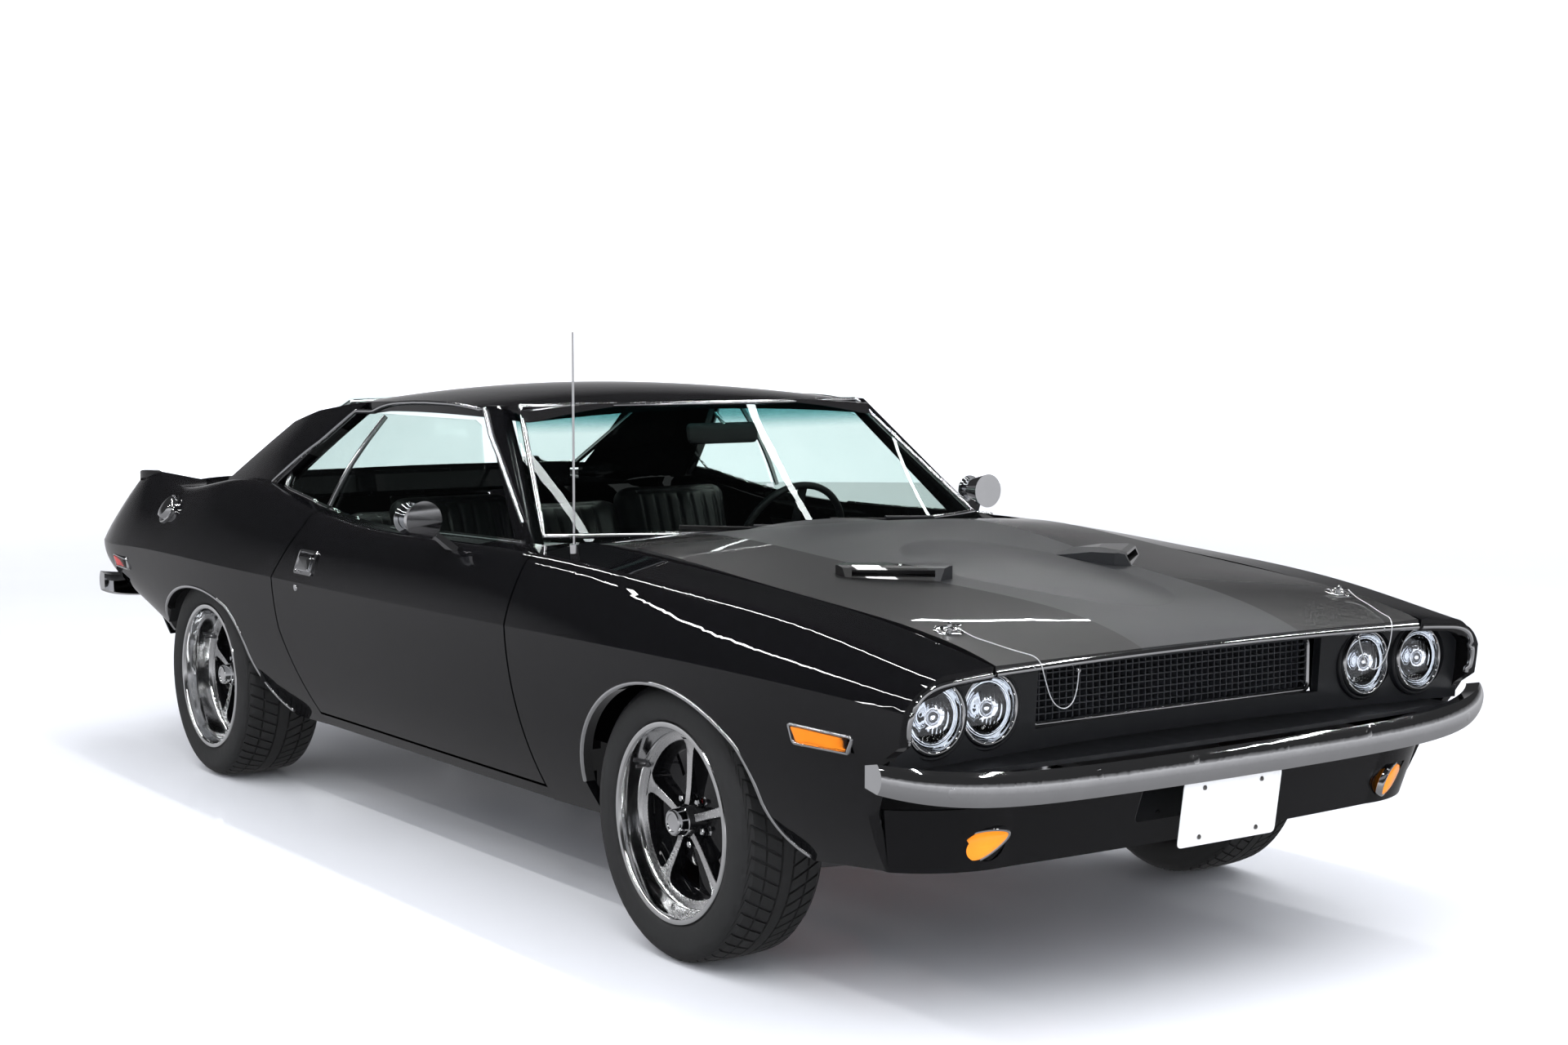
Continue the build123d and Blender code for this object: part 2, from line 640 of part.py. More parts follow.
rear_pillar = Solid.make_loft([sail_section(*row) for row in SAIL_ROWS])
roof_edge = [(x, edge_z) for x, half, edge_z, crown_z in ROOF_ROWS[2:]]
roof_edge += [(X_ROOF_REAR - 240, roof_edge[-1][1] - 48)]
over_edge = [(roof_edge[-1][0], ROOF_HEIGHT + 100), (roof_edge[0][0], ROOF_HEIGHT + 100)]
rear_pillar = rear_pillar - roof - side_prism(roof_edge + over_edge, (400, 900)) - deck_opening
quarter = quarter_side + largest(rear_pillar) + deck_pin

cowl_rows = [
    (X_HOOD_REAR - HOOD_REAR_GAP, HOOD_HALF_REAR + 54, 913, 932),
    (X_DOOR_FRONT - 130, COWL_HALF, 902, 920),
    (X_DOOR_FRONT - 290, COWL_HALF, 894, 908),
]
cowl_front = plan_between(hood_half, X_DOOR_FRONT - half_gap, X_HOOD_REAR, SEAM)
cowl_back = box((X_DOOR_FRONT - 400, X_DOOR_FRONT - half_gap), (-COWL_HALF, COWL_HALF), (100, 1400))
cowl = crowned_panel(cowl_rows, SKIN) & (cowl_front + cowl_back)
firewall = box((X_FIREWALL, X_FIREWALL + 12), (-KICK_Y, KICK_Y), (Z_FLOOR_TOP + SEAM, 900))
kick_panel = box((X_FIREWALL, X_DOOR_FRONT + 32), (KICK_Y - 12, KICK_Y), (Z_FLOOR_TOP + SEAM, 890))
post = box((X_DOOR_FRONT + half_gap, X_DOOR_FRONT + 32), (KICK_Y - 12, POST_Y), (Z_DOOR_FOOT + 26, 855))
post = post + kick_panel
hinge_x, hinge_y = X_DOOR_FRONT - DOOR_HINGE_BEHIND, HALF_WIDTH - DOOR_HINGE_INSET
tunnel_bore = cylinder_x((X_FIREWALL - 50, X_FIREWALL + 50), 0, TUNNEL_Z, TUNNEL_RADIUS)
cowl = cowl + (firewall - tunnel_bore)
for hinge_z in HINGE_HEIGHTS:
    arm_outline = [
        (hinge_x - 7, hinge_y + 2),
        (hinge_x + 5, hinge_y + 2),
        (hinge_x + 44, POST_Y + 54),
        (X_DOOR_FRONT + 26, POST_Y - 5),
        (X_DOOR_FRONT + 4, POST_Y - 5),
        (hinge_x + 26, POST_Y + 44),
    ]
    arm = plan_prism(arm_outline, (hinge_z - 8, hinge_z + 8))
    post = post + arm + cylinder_z(hinge_x, hinge_y, (hinge_z - 26, hinge_z + 26), PIN_RADIUS)
    pocket = box((hinge_x - 16, X_DOOR_FRONT), (500, hinge_y + 9), (hinge_z - 14, hinge_z + 14))
    bore = cylinder_z(hinge_x, hinge_y, (hinge_z - 28, hinge_z + 28), PIN_RADIUS + FIT)
    door = door - pocket - bore
cowl = cowl + post + mirrored(post)

front_pillar = pillar(
    880.0,
    [(X_DOOR_FRONT - ahead, y) for ahead, y in ((152, 774), (240, 779), (252, 738), (172, 730))],
    1250.0,
    [(X_ROOF_FRONT - behind, y) for behind, y in ((92, 640), (154, 646), (164, 604), (108, 596))],
)
front_pillar = largest(front_pillar - roof - cowl)
glass_base = (905, X_DOOR_FRONT + 26, X_DOOR_FRONT - 172, COWL_HALF + 2)
glass_top = (1262, X_ROOF_FRONT - 4, X_ROOF_FRONT - 78, 596)
windshield = screen(glass_base, glass_top, -GLASS)
windshield = largest(windshield - cowl - roof - front_pillar - mirrored(front_pillar))
glass_base = (958, X_TULIP_FRONT - 83, X_TULIP_FRONT - 33, DECK_HALF_FRONT - 22)
glass_top = (1246, X_ROOF_REAR - 8, X_ROOF_REAR + 102, 590)
rear_window = screen(glass_base, glass_top, GLASS)
rear_window = largest(rear_window - tulip - roof - quarter - mirrored(quarter))


def glass_section(x, belt_y, rail_y):
    """A bowed strip of side glass from belt to roof rail."""
    low, high = (belt_y, 850.0), (rail_y, 1225.0)
    middle = bowed(low, high, 14.0)
    outer = [Vector(x, *p) for p in (low, middle, high)]
    inner = [Vector(x, p[0] - GLASS, p[1]) for p in (low, middle, high)]
    return Wire(
        [
            ThreePointArc(*outer),
            Line(outer[2], inner[2]),
            ThreePointArc(inner[2], inner[1], inner[0]),
            Line(inner[0], outer[0]),
        ]
    )


side_glass = Solid.make_loft([glass_section(*row) for row in SIDE_GLASS_ROWS])
door_glass = side_glass & side_prism(
    [
        (X_DOOR_FRONT - 264, 890),
        (X_DOOR_FRONT - 342, 950),
        (X_DOOR_FRONT - 662, 1195),
        (X_DOOR_FRONT - 712, GLASS_TOP),
        (DIVIDER_TOP_X + 5, GLASS_TOP),
        (DIVIDER_FOOT_X + 5, 880),
    ],
    Y_SIDE,
)
door_glass = largest(door_glass - door)
quarter_glass = side_glass & side_prism(
    [
        (DIVIDER_FOOT_X - 5, Z_BELT + 46),
        (DIVIDER_TOP_X - 5, GLASS_TOP),
        (X_ROOF_REAR + 368, GLASS_TOP),
        (X_QUARTER_TIP + 14, 1000),
        (X_QUARTER_TIP + 14, 900),
        (X_DOOR_REAR_TOP - PANEL_GAP, 900),
        (X_DOOR_REAR_TOP - PANEL_GAP, Z_BELT + 46),
    ],
    Y_SIDE,
)
quarter_glass = largest(quarter_glass - quarter - roof)

# Front panel, grille, lamps, bumper and valance
front_panel = screen(
    (Z_FILLER, X_NOSE - 143, X_NOSE - 69, 880),
    (764, X_NOSE - 129, X_NOSE - 55, 880),
    -PANEL_DEPTH,
)
filler_z = Z_FILLER - 10
front_end, rear_end = X_NOSE - 19, X_NOSE - 97
filler_edges = [
    ThreePointArc((front_end, -800, filler_z), (X_NOSE + 8, 0, filler_z), (front_end, 800, filler_z)),
    Line((front_end, 800, filler_z), (rear_end, 800, filler_z)),
    ThreePointArc((rear_end, 800, filler_z), (X_NOSE - 158, 0, filler_z), (rear_end, -800, filler_z)),
    Line((rear_end, -800, filler_z), (front_end, -800, filler_z)),
]
front_panel = front_panel + extrude(make_face(filler_edges), amount=10, dir=(0, 0, 1))
grille_opening = box((X_NOSE - 365, X_NOSE + 35), (-GRILLE_HALF, GRILLE_HALF), (GRILLE_LOW, GRILLE_HIGH))
front_panel = front_panel - grille_opening
headlamps = []
for lamp_x, lamp_y in HEADLAMPS:
    for sign in (1, -1):
        y = sign * lamp_y
        front_panel = front_panel - cylinder_x((X_NOSE - 265, X_NOSE + 35), y, LAMP_Z, LAMP_RADIUS + FIT)
        headlamps.append(Pos(lamp_x, y, LAMP_Z) * lamp_lens(LAMP_RADIUS, 70))
front_panel = largest(front_panel - fender - mirrored(fender))

grille_x = X_NOSE - 169
frame = box(
    (grille_x - 12, grille_x + 12),
    (FIT - GRILLE_HALF, GRILLE_HALF - FIT),
    (GRILLE_LOW + FIT, GRILLE_HIGH - FIT),
)
frame = frame - box(
    (grille_x - 20, grille_x + 20),
    (GRILLE_FRAME - GRILLE_HALF, GRILLE_HALF - GRILLE_FRAME),
    (GRILLE_LOW + GRILLE_FRAME, GRILLE_HIGH - GRILLE_FRAME),
)
grille = frame
for number in range(1, GRILLE_BARS):
    y = -GRILLE_HALF + number * 2 * GRILLE_HALF / GRILLE_BARS
    grille = grille + box((grille_x - 10, grille_x + 4), (y - 2, y + 2), (GRILLE_LOW + 4, GRILLE_HIGH - 4))
for number in range(1, GRILLE_ROWS):
    z = GRILLE_LOW + number * (GRILLE_HIGH - GRILLE_LOW) / GRILLE_ROWS
    grille = grille + box((grille_x - 10, grille_x + 8), (4 - GRILLE_HALF, GRILLE_HALF - 4), (z - 2, z + 2))

def bumper_rows(table, end_x, direction):
    """Rows across the car from a table of one half: y, distance behind the bumper's face, low and high z."""
    half = [(y, end_x - direction * behind, low, high) for y, behind, low, high in table]
    return [(-y, x, low, high) for y, x, low, high in half[:-1]] + half[::-1]


# Columns of both tables: y, distance behind the overall end, low z, high z
FRONT_BUMPER = [(934, 104, 538, 600), (800, 42, 508, 580), (420, 18, 486, 558), (0, 14, 484, 557)]
REAR_BUMPER = [(904, 116, 520, 590), (784, 38, 486, 572), (420, 18, 476, 567), (0, 14, 474, 566)]
front_bumper = bumper_bar(bumper_rows(FRONT_BUMPER, X_FRONT_BUMPER, 1), 40)
for sign in (1, -1):
    ends = sorted((sign * (RAIL_Y - 50), sign * (RAIL_Y - 5)))
    front_bumper = front_bumper + box((X_RAIL_FRONT + SEAM, X_FRONT_BUMPER - 40), ends, (500, 545))


def wrapped(levels, thickness):
    """A sheet that turns round both corners, from levels of z, middle x and three (x, y) corner points."""
    wires = []
    for z, middle_x, shoulder, corner, end in levels:
        outer = [(x, y, z) for x, y in (end, corner, shoulder)]
        across = [(x, -y, z) for x, y in (shoulder, corner, end)]
        inner = [(x + thickness, y, z) for x, y, z in outer]
        inner_across = [(x + thickness, y, z) for x, y, z in across]
        wires.append(
            Wire(
                [
                    ThreePointArc(*outer),
                    ThreePointArc(outer[2], (middle_x, 0, z), across[0]),
                    ThreePointArc(*across),
                    Line(across[2], inner_across[2]),
                    ThreePointArc(*inner_across[::-1]),
                    ThreePointArc(inner_across[0], (middle_x + thickness, 0, z), inner[2]),
                    ThreePointArc(*inner[::-1]),
                    Line(inner[0], outer[0]),
                ]
            )
        )
    return Solid.make_loft(wires, ruled=True)


front_valance = wrapped(
    [
        (336, X_NOSE - 55, (X_NOSE - 72, 560), (X_NOSE - 102, 712), (X_NOSE - 174, 800)),
        (478, X_NOSE - 19, (X_NOSE - 36, 575), (X_NOSE - 66, 734), (X_NOSE - 142, 836)),
    ],
    -VALANCE_THICKNESS,
)


def parking_lamp(x, margin):
    """A teardrop lamp from x[0] to x[1]: a round lens with a tail that points outward and up."""
    round_end = PARKING_RADIUS + margin
    tail_y, tail_z = PARKING_TAIL
    lean = math.atan2(tail_z, tail_y)
    spread = math.acos(PARKING_RADIUS / math.hypot(tail_y, tail_z))
    turns = (lean + spread, lean - spread)
    corners = [(round_end * math.cos(turn), round_end * math.sin(turn)) for turn in turns]
    corners.insert(1, (tail_y + margin, tail_z + margin / 2))
    outline = Polyline(*[(x[0], PARKING_Y + y, PARKING_Z + z) for y, z in corners], close=True)
    tail = extrude(make_face(outline), amount=x[1] - x[0], dir=(1, 0, 0))
    return cylinder_x(x, PARKING_Y, PARKING_Z, round_end) + tail


front_valance = front_valance - parking_lamp((X_NOSE - 215, X_NOSE + 35), FIT)
front_valance = front_valance - mirrored(parking_lamp((X_NOSE - 215, X_NOSE + 35), FIT))
parking_lamps = both(parking_lamp((X_NOSE - 140, X_NOSE - 66), 0.0))
for sign in (1, -1):
    hole_y = sign * PLATE_HOLE_SPACING / 2
    hole = cylinder_x((X_NOSE - 115, X_NOSE + 35), hole_y, PLATE_HOLE_Z, PLATE_HOLE_RADIUS)
    front_valance = front_valance - hole
front_valance = largest(front_valance - fender - mirrored(fender))

# Rear panel, tail lamps, bumper and valance
panel_plan = (X_TAIL - 6, X_TAIL + 20, 800)
rear_panel = screen((545, *panel_plan), (DECK_REAR_Z, *panel_plan), PANEL_DEPTH)
tail_lamps = []
for sign in (1, -1):
    ends = sorted((sign * TAIL_LAMP_IN, sign * TAIL_LAMP_OUT))
    room_z = (TAIL_LAMP_LOW - FIT, TAIL_LAMP_HIGH + FIT)
    room = box((X_TAIL - 60, X_TAIL + 60), (ends[0] - FIT, ends[1] + FIT), room_z)
    rear_panel = rear_panel - room
    tail_lamps.append(box((X_TAIL - 14, X_TAIL + 30), ends, (TAIL_LAMP_LOW, TAIL_LAMP_HIGH)))
rear_panel = largest(rear_panel - quarter - mirrored(quarter))
rear_bumper = bumper_bar(bumper_rows(REAR_BUMPER, X_REAR_BUMPER, -1), -40)
for sign in (1, -1):
    ends = sorted((sign * 400, sign * 440))
    bracket_z = (Z_TRUNK_FLOOR, Z_TRUNK_FLOOR + 45)
    rear_bumper = rear_bumper + box((X_REAR_BUMPER + 20, X_TRUNK_REAR - SEAM), ends, bracket_z)
rear_valance = screen(
    (360, X_TAIL + 65, X_TAIL + 155, 700),
    (Z_TRUNK_FLOOR - SEAM, X_TAIL + 23, X_TAIL + 111, 730),
    VALANCE_THICKNESS,
)
rear_valance = largest(rear_valance - quarter - mirrored(quarter))

# Floor with its tunnel, kick-up and trunk floor
floor_side = [
    (X_FIREWALL + 12, Z_FLOOR_TOP),
    (X_KICK_UP, Z_FLOOR_TOP),
    (X_KICK_UP - 185, Z_TRUNK_FLOOR + FLOOR_THICKNESS),
    (X_TRUNK_REAR, Z_TRUNK_FLOOR + FLOOR_THICKNESS),
    (X_TRUNK_REAR, Z_TRUNK_FLOOR),
    (X_KICK_UP - 178, Z_TRUNK_FLOOR),
    (X_KICK_UP + 8, Z_FLOOR_TOP - FLOOR_THICKNESS),
    (X_FIREWALL + 12, Z_FLOOR_TOP - FLOOR_THICKNESS),
]
floor = side_prism(floor_side, (-FLOOR_HALF, FLOOR_HALF))
X_TUNNEL = (X_KICK_UP - 170, X_FIREWALL + 12)
tunnel = cylinder_x(X_TUNNEL, 0, TUNNEL_Z, TUNNEL_RADIUS - FIT)
tunnel = tunnel & box(X_TUNNEL, (-300, 300), (Z_FLOOR_TOP - 6, 700))
hollow = cylinder_x((X_TUNNEL[0] - 10, X_TUNNEL[1] + 10), 0, TUNNEL_Z, TUNNEL_RADIUS - FLOOR_THICKNESS)
mouth = box((X_KICK_UP - 30, X_TUNNEL[1] + 10), (20 - TUNNEL_RADIUS, TUNNEL_RADIUS - 20), (0, Z_FLOOR_TOP))
floor = (floor + tunnel) - hollow - mouth
for sign in (1, -1):
    ends = sorted((sign * (HOUSING_Y - SEAM), sign * 900))
    floor = floor - box((X_REAR_AXLE - HOUSING_REACH, X_REAR_AXLE + HOUSING_REACH), ends, (0, 900))

housing = cylinder_y(X_REAR_AXLE, (HOUSING_Y, 898), TYRE_RADIUS, HOUSING_RADIUS)
housing = housing + wheel_arch(X_REAR_AXLE, REAR_ARCH, (HOUSING_Y, 898), HOUSING_MARGIN)
housing = housing - cylinder_y(X_REAR_AXLE, (HOUSING_Y + 6, 910), TYRE_RADIUS, HOUSING_RADIUS - 6)
housing = housing - wheel_arch(X_REAR_AXLE, REAR_ARCH, (HOUSING_Y + 6, 910), HOUSING_MARGIN - 6)
housing = housing & box((-3000, 3000), (0, 1000), (TYRE_RADIUS - 60, 1000))
housing = housing - box((X_REAR_AXLE - 110, X_REAR_AXLE + 110), (0, HOUSING_Y + 20), (0, TYRE_RADIUS + 120))
housing = largest(housing - quarter)

# Engine bay sides with the front rails
bay_side = box((X_FIREWALL + 12 + SEAM, X_RAIL_FRONT), (RAIL_Y, RAIL_Y + 8), (Z_RAIL, 740))
rail = box((X_FIREWALL + 12 + SEAM, X_RAIL_FRONT), (RAIL_Y - 75, RAIL_Y), (Z_RAIL, Z_RAIL + 90))
rail_end = box((X_RAIL_FRONT - 20, X_RAIL_FRONT), (RAIL_Y - 75, RAIL_Y), (Z_RAIL, 550))
bay_side = bay_side + rail + rail_end

# Running gear
member_x = (X_FRONT_AXLE - 70, X_FRONT_AXLE + 70)
crossmember = box(member_x, (-RAIL_Y, RAIL_Y), (Z_RAIL - 60, Z_RAIL - SEAM))
for sign in (1, -1):
    ends = (sign * (RAIL_Y - 70), sign * (RAIL_Y - 10))
    crossmember = crossmember + box(member_x, ends, (TYRE_RADIUS - ARM_OFFSET - 11, Z_RAIL - 50))
    for offset, reach in ((-ARM_OFFSET, RAIL_Y - 30), (ARM_OFFSET, RAIL_Y + 8 + SEAM)):
        z = TYRE_RADIUS + offset
        outline = [(X_FRONT_AXLE - 110, sign * reach), (X_FRONT_AXLE + 110, sign * reach)]
        tip_y = sign * (STEER_AXIS_Y + 8)
        outline += [(X_FRONT_AXLE + 26, tip_y), (X_FRONT_AXLE - 26, tip_y)]
        crossmember = crossmember + plan_prism(outline, (z - 11, z + 11))

spindle_end = FRONT_LIP_Y - FRONT_DISH - 8
knuckle = box(
    (X_FRONT_AXLE - 30, X_FRONT_AXLE + 30),
    (STEER_AXIS_Y - 18, STEER_AXIS_Y + 14),
    (TYRE_RADIUS - 100, TYRE_RADIUS + 100),
)
kingpin = ARM_OFFSET - 11 - FIT
kingpin_z = (TYRE_RADIUS - kingpin, TYRE_RADIUS + kingpin)
knuckle = knuckle + cylinder_z(X_FRONT_AXLE, STEER_AXIS_Y - 2, kingpin_z, 15)
knuckle = knuckle + cylinder_y(X_FRONT_AXLE, (STEER_AXIS_Y, spindle_end), TYRE_RADIUS, HUB_BORE)


def ring(y, radii):
    """A square ring about the Y axis."""
    return turned_y([(y[0], radii[0]), (y[1], radii[0]), (y[1], radii[1]), (y[0], radii[1])])


caliper = ring((STEER_AXIS_Y + 2, STEER_AXIS_Y + 72), (96, 182))
caliper = caliper - ring((ROTOR_Y - 6, ROTOR_Y + ROTOR_WIDTH + 6), (60, 157))
caliper = caliper & (Rot(0, -40, 0) * box((60, 300), (0, 1000), (-60, 60)))
caliper = Pos(X_FRONT_AXLE, 0, TYRE_RADIUS) * caliper
bracket = side_prism(
    [
        (X_FRONT_AXLE - 20, TYRE_RADIUS + 20),
        (X_FRONT_AXLE + 20, TYRE_RADIUS - 20),
        (X_FRONT_AXLE + 125, TYRE_RADIUS + 85),
        (X_FRONT_AXLE + 85, TYRE_RADIUS + 125),
    ],
    (STEER_AXIS_Y - 12, STEER_AXIS_Y + 8),
)
knuckle = knuckle + bracket + caliper


def wheel(lip_y, width, dish):
    """A five-spoke wheel about the Y axis with its barrel, stepped bright lip, hub and spokes."""
    inner_y, face_y = lip_y - width, lip_y - dish
    seat = RIM_LIP_RADIUS - 18
    barrel = turned_y(
        [
            (inner_y, RIM_LIP_RADIUS - 4),
            (inner_y + 12, RIM_LIP_RADIUS - 4),
            (inner_y + 12, seat),
            (lip_y - 12, seat),
            (lip_y - 12, RIM_LIP_RADIUS),
            (lip_y, RIM_LIP_RADIUS),
            (lip_y, RIM_LIP_RADIUS - 8),
            (lip_y - 10, seat - RIM_WALL),
            (face_y, seat - RIM_WALL - 8),
            (face_y - 40, seat - RIM_WALL - 6),
            (inner_y, seat - RIM_WALL),
        ]
    )
    disc = turned_y(
        [
            (face_y, HUB_BORE + FIT),
            (face_y, 74),
            (face_y - 14, 110),
            (face_y - 4, seat - RIM_WALL - 4),
            (face_y - 34, seat - RIM_WALL - 4),
            (face_y - 40, 110),
            (face_y - 34, HUB_BORE + FIT),
        ]
    )
    for number in range(SPOKE_COUNT):
        turn = Rot(0, 90 + (number + 0.5) * 360 / SPOKE_COUNT, 0)
        window = side_prism([(98, -26), (186, -78), (194, -40), (194, 40), (186, 78), (98, 26)], (0, 1000))
        disc = disc - turn * window
    for number in range(SPOKE_COUNT):
        turn = Rot(0, 90 + number * 360 / SPOKE_COUNT, 0)
        tip = 0.6 * SPOKE_WIDTH
        spoke = [(60, -SPOKE_WIDTH), (seat - 14, -tip), (seat - 14, tip), (60, SPOKE_WIDTH)]
        disc = disc + turn * side_prism(spoke, (face_y - 30, face_y + SPOKE_PROUD))
    cap_y = face_y + CAP_LENGTH
    cap = turned_y([(face_y - 2, 0), (face_y - 2, 62), (face_y + 22, 40), (cap_y, 34), (cap_y, 0)])
    return barrel + disc + cap


def tyre(lip_y, width):
    """A wide tyre about the Y axis, seated on the rim between its flanges."""
    seat = RIM_LIP_RADIUS - 18 + FIT
    inner_y = lip_y - width
    outer_bead, inner_bead = lip_y - 12 - FIT, inner_y + 12 + FIT
    outer_side, inner_side = lip_y + TYRE_BULGE, inner_y - TYRE_BULGE - 6
    tread_r, shoulder_r = TYRE_RADIUS, TYRE_RADIUS - 14
    points = [
        (inner_bead, seat),
        (outer_bead, seat),
        (outer_bead, RIM_LIP_RADIUS + 2),
        (outer_side - 2, RIM_LIP_RADIUS + 16),
        (outer_side, 276),
        (outer_side - 6, shoulder_r - 6),
        (outer_side - 26, tread_r),
        (inner_side + 26, tread_r),
        (inner_side + 6, shoulder_r - 6),
        (inner_side, 276),
        (inner_side + 2, RIM_LIP_RADIUS + 16),
        (inner_bead, RIM_LIP_RADIUS + 2),
    ]
    return turned_y(points)


rotor = turned_y(
    [
        (ROTOR_Y, HUB_BORE + 40),
        (ROTOR_Y, 150),
        (ROTOR_Y + ROTOR_WIDTH, 150),
        (ROTOR_Y + ROTOR_WIDTH, 86),
        (FRONT_LIP_Y - FRONT_DISH - 30, 86),
        (FRONT_LIP_Y - FRONT_DISH - 30, HUB_BORE + FIT),
        (FRONT_LIP_Y - FRONT_DISH - 44, HUB_BORE + FIT),
        (FRONT_LIP_Y - FRONT_DISH - 44, HUB_BORE + 40),
    ]
)
front_wheel = wheel(FRONT_LIP_Y, FRONT_RIM_WIDTH, FRONT_DISH)
rear_wheel = wheel(REAR_LIP_Y, REAR_RIM_WIDTH, REAR_DISH)
WHEELS = [
    ("front", X_FRONT_AXLE, front_wheel + rotor, tyre(FRONT_LIP_Y, FRONT_RIM_WIDTH)),
    ("rear", X_REAR_AXLE, rear_wheel, tyre(REAR_LIP_Y, REAR_RIM_WIDTH)),
]

axle_end = REAR_LIP_Y - REAR_DISH - 8
drum_y = REAR_LIP_Y - REAR_DISH - 34 - FIT
rear_axle = cylinder_y(X_REAR_AXLE, (-axle_end, axle_end), TYRE_RADIUS, HUB_BORE)
rear_axle = rear_axle + cylinder_y(X_REAR_AXLE, (-drum_y + 80, drum_y - 80), TYRE_RADIUS, AXLE_TUBE)
differential = turned_y([(-105, 0), (-105, 60), (-40, DIFF_RADIUS), (40, DIFF_RADIUS), (105, 60), (105, 0)])
rear_axle = rear_axle + Pos(X_REAR_AXLE, 0, TYRE_RADIUS) * differential
for sign in (1, -1):
    ends = sorted((sign * (drum_y - 80), sign * (drum_y - 6)))
    rear_axle = rear_axle + cylinder_y(X_REAR_AXLE, ends, TYRE_RADIUS, 138)
shaft = cylinder_x((X_REAR_AXLE + DIFF_RADIUS - 10, X_GEARBOX_REAR - SEAM), 0, TYRE_RADIUS, SHAFT_RADIUS)
rear_axle = rear_axle + shaft

spring_y = (SPRING_Y - 30, SPRING_Y + 30)
spring_arc = ThreePointArc((X_SPRING_FRONT, 0, 236), (X_REAR_AXLE, 0, SPRING_Z), (X_SPRING_REAR, 0, 330))
spring_start = Plane(origin=(X_SPRING_FRONT, 0, 236), z_dir=spring_arc % 0, x_dir=(0, 1, 0))
spring = Pos(0, SPRING_Y, 0) * sweep(spring_start * Rectangle(60, 22), path=spring_arc)
hanger_top = Z_FLOOR_TOP - FLOOR_THICKNESS - SEAM
spring = spring + box((X_SPRING_FRONT - 20, X_SPRING_FRONT + 25), spring_y, (228, hanger_top))
spring = spring + box((X_SPRING_REAR - 20, X_SPRING_REAR + 20), spring_y, (322, Z_TRUNK_FLOOR - SEAM))
saddle = box((X_REAR_AXLE - 50, X_REAR_AXLE + 50), spring_y, (SPRING_Z - 5, TYRE_RADIUS))
spring = spring + (saddle - cylinder_y(X_REAR_AXLE, (0, 900), TYRE_RADIUS, AXLE_TUBE + FIT))

engine_x = (X_ENGINE_REAR, X_ENGINE_REAR + ENGINE_LENGTH)
engine = box(engine_x, (-ENGINE_HALF, ENGINE_HALF), (Z_RAIL, Z_ENGINE_TOP))
engine = engine + cylinder_x((X_GEARBOX_REAR, X_ENGINE_REAR + 10), 0, TYRE_RADIUS - 18, GEARBOX_RADIUS)

pipe_run = [
    (X_ENGINE_REAR + 60, EXHAUST_Y, EXHAUST_Z),
    (X_KICK_UP + 30, EXHAUST_Y, EXHAUST_Z),
    (X_REAR_AXLE + 300, EXHAUST_Y + 230, EXHAUST_Z + 85),
    (X_REAR_AXLE, EXHAUST_Y + 230, TYRE_RADIUS + AXLE_TUBE + 55),
    (X_REAR_AXLE - 310, EXHAUST_Y + 230, EXHAUST_Z + 90),
    (X_TAIL + 60, EXHAUST_Y + 230, EXHAUST_Z + 90),
]
pipe = tube(pipe_run, PIPE_RADIUS)
flange_y = (ENGINE_HALF + SEAM, ENGINE_HALF + 40)
pipe = pipe + box((X_ENGINE_REAR - 10, X_ENGINE_REAR + 90), flange_y, (EXHAUST_Z - 20, 330))
pipe = pipe + cylinder_x((X_KICK_UP + 250, X_KICK_UP + 700), EXHAUST_Y, EXHAUST_Z - 14, PIPE_RADIUS + 18)
fuel_tank = box((X_TANK, X_TANK + 480), (-400, 400), (285, Z_TRUNK_FLOOR - SEAM))

# Cabin
# Dashboard in side view. Columns: distance behind the firewall, height
DASH_POINTS = [(SEAM, 640), (SEAM, 860), (117, 860), (207, 842), (229, 790), (187, 650), (147, 620)]
dash_side = [(X_FIREWALL - behind, z) for behind, z in DASH_POINTS]
dashboard = side_prism(dash_side, (-DASH_HALF, DASH_HALF))
column_tilt = 20.0
column = Pos(WHEEL_X, WHEEL_Y, WHEEL_Z) * Rot(0, 90 + column_tilt, 0) * Pos(0, 0, 30) * Cylinder(
    32, COLUMN_LENGTH, align=(Align.CENTER, Align.CENTER, Align.MIN)
)
column = column - dashboard
column = largest(column)
steering_wheel = Torus(STEERING_RADIUS, 11) + Cylinder(42, 26)
for angle in (0, 180, 270):
    steering_wheel = steering_wheel + Rot(0, 0, angle) * box((30, STEERING_RADIUS - 4), (-14, 14), (-4, 4))
steering_wheel = steering_wheel + Cylinder(14, 30 - FIT, align=(Align.CENTER, Align.CENTER, Align.MIN))
steering_wheel = Pos(WHEEL_X, WHEEL_Y, WHEEL_Z) * Rot(0, 90 + column_tilt, 0) * steering_wheel


def rounded_side(points, radius, y):
    """A side view outline with round corners, extruded from y[0] to y[1]."""
    outline = make_face(Polyline(*[(px, y[0], pz) for px, pz in points], close=True))
    face = outline.faces()[0]
    return extrude(face.fillet_2d(radius, face.vertices()), amount=y[1] - y[0], dir=(0, 1, 0))


def cushion_outline(x, z, length, height, lean):
    """A bucket seat in side view: a cushion and a leaning back."""
    top = z + height
    return [
        (x, z),
        (x + length, z + 30),
        (x + length, z + 150),
        (x + 150, z + 130),
        (x + 150 - lean, top),
        (x - lean, top),
        (x, z + 130),
    ]


